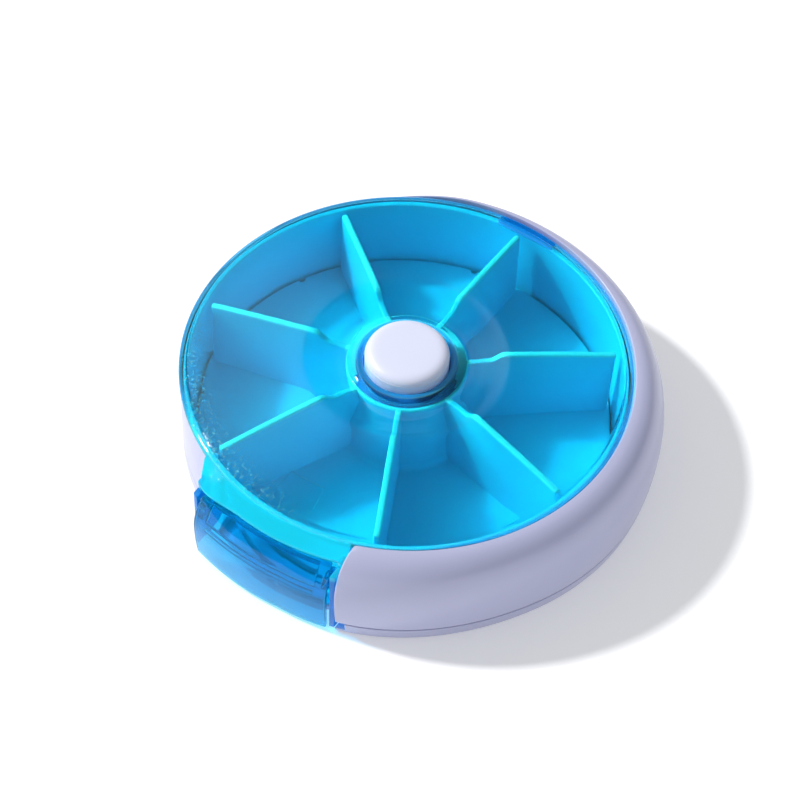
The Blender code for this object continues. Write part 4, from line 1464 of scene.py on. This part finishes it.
@dataclass
class Studio:
    """The floor, the lights and the camera."""

    azimuth: float = 31.5
    elevation: float = 51.73
    roll: float = -2.6
    distance: float = 490.8 * MM
    target: tuple[float, float, float] = (4.13 * MM, -8.67 * MM, 21.69 * MM)
    focal: float = 113.18
    key_heading: float = 194.5
    key_elevation: float = 42.0
    key_strength: float = 2.8
    sky_strength: float = 0.49
    sheen_heading: float = 146.0
    sheen_elevation: float = 48.0
    sheen_strength: float = 0.9

    def build(self) -> None:
        """Set up the stage."""
        self.floor()
        self.key()
        self.sky()
        self.camera()
        bpy.context.scene.view_settings.view_transform = "Standard"

    def floor(self) -> None:
        """A wide plain floor under the object."""
        shape = bmesh.new()
        bmesh.ops.create_grid(shape, x_segments=8, y_segments=8, size=3.0)
        floor = new_object("studio_floor", shape)
        floor.data.materials.append(Plain("studio_floor", (0.90, 0.90, 0.91)).build())
        floor.location.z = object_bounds()[0][2] - 0.02 * MM
        floor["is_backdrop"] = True

    def key(self) -> None:
        """The key light from the left."""
        lamp = bpy.data.lights.new("key", "SUN")
        lamp.energy = self.key_strength
        lamp.angle = math.radians(5.0)
        lamp.color = (1.0, 0.99, 0.97)
        key = bpy.data.objects.new("key", lamp)
        rise = math.radians(self.key_elevation)
        toward = polar(math.cos(rise), self.key_heading, math.sin(rise))
        key.rotation_euler = toward.to_track_quat("Z", "Y").to_euler()
        key.location = toward
        bpy.context.scene.collection.objects.link(key)

    def sky(self) -> None:
        """An even pale fill, which glossy surfaces see dimmed."""
        world = bpy.data.worlds.new("studio")
        world.use_nodes = True
        wires = Wiring(world.node_tree)
        path = wires.add("LightPath")
        toward = wires.add("VectorMath", {"operation": "DOT_PRODUCT"})
        wires.put(toward.inputs[0], wires.add("TexCoord").outputs["Generated"])
        rise = math.radians(self.sheen_elevation)
        toward.inputs[1].default_value = polar(math.cos(rise), self.sheen_heading, math.sin(rise))
        sheen = wires.spread(
            toward.outputs["Value"], self.sky_strength * 0.1, self.sheen_strength, 0.955, 0.995)
        mirrored = path.outputs["Is Glossy Ray"]
        glossy = wires.math("MULTIPLY", sheen, mirrored)
        plain = wires.math("MULTIPLY", wires.math("SUBTRACT", 1.0, mirrored), self.sky_strength)
        strength = wires.math("ADD", glossy, plain)
        background = wires.add("Background", Color=(0.96, 0.98, 1.0), Strength=strength)
        wires.add("OutputWorld", Surface=background.outputs[0])
        bpy.context.scene.world = world

    def camera(self) -> None:
        """The camera, looking down at the outlet's side."""
        turn, rise = math.radians(self.azimuth), math.radians(self.elevation)
        right = Vector((math.cos(turn), math.sin(turn), 0.0))
        back = Vector((math.sin(turn) * math.cos(rise), -math.cos(turn) * math.cos(rise), math.sin(rise)))
        up = back.cross(right)
        tilt = math.radians(self.roll)
        level = right * math.cos(tilt) - up * math.sin(tilt)
        upright = right * math.sin(tilt) + up * math.cos(tilt)
        lens = bpy.data.cameras.new("camera")
        lens.lens = self.focal
        lens.clip_start = 0.01
        camera = bpy.data.objects.new("camera", lens)
        place = Vector(self.target) + back * self.distance
        camera.matrix_world = Matrix((level, upright, back)).transposed().to_4x4()
        camera.location = place
        bpy.context.scene.collection.objects.link(camera)
        bpy.context.scene.camera = camera


def main() -> None:
    """Build the studio and every sub-assembly, in order."""
    logging.basicConfig(level=logging.INFO, format="%(message)s")
    Studio().build()
    palette = Palette()
    for assembly in (Shells, Drum, Tray, Drive, Button, Cover, Flap, Screws):
        assembly(palette).build()


if __name__ == "__main__":
    main()
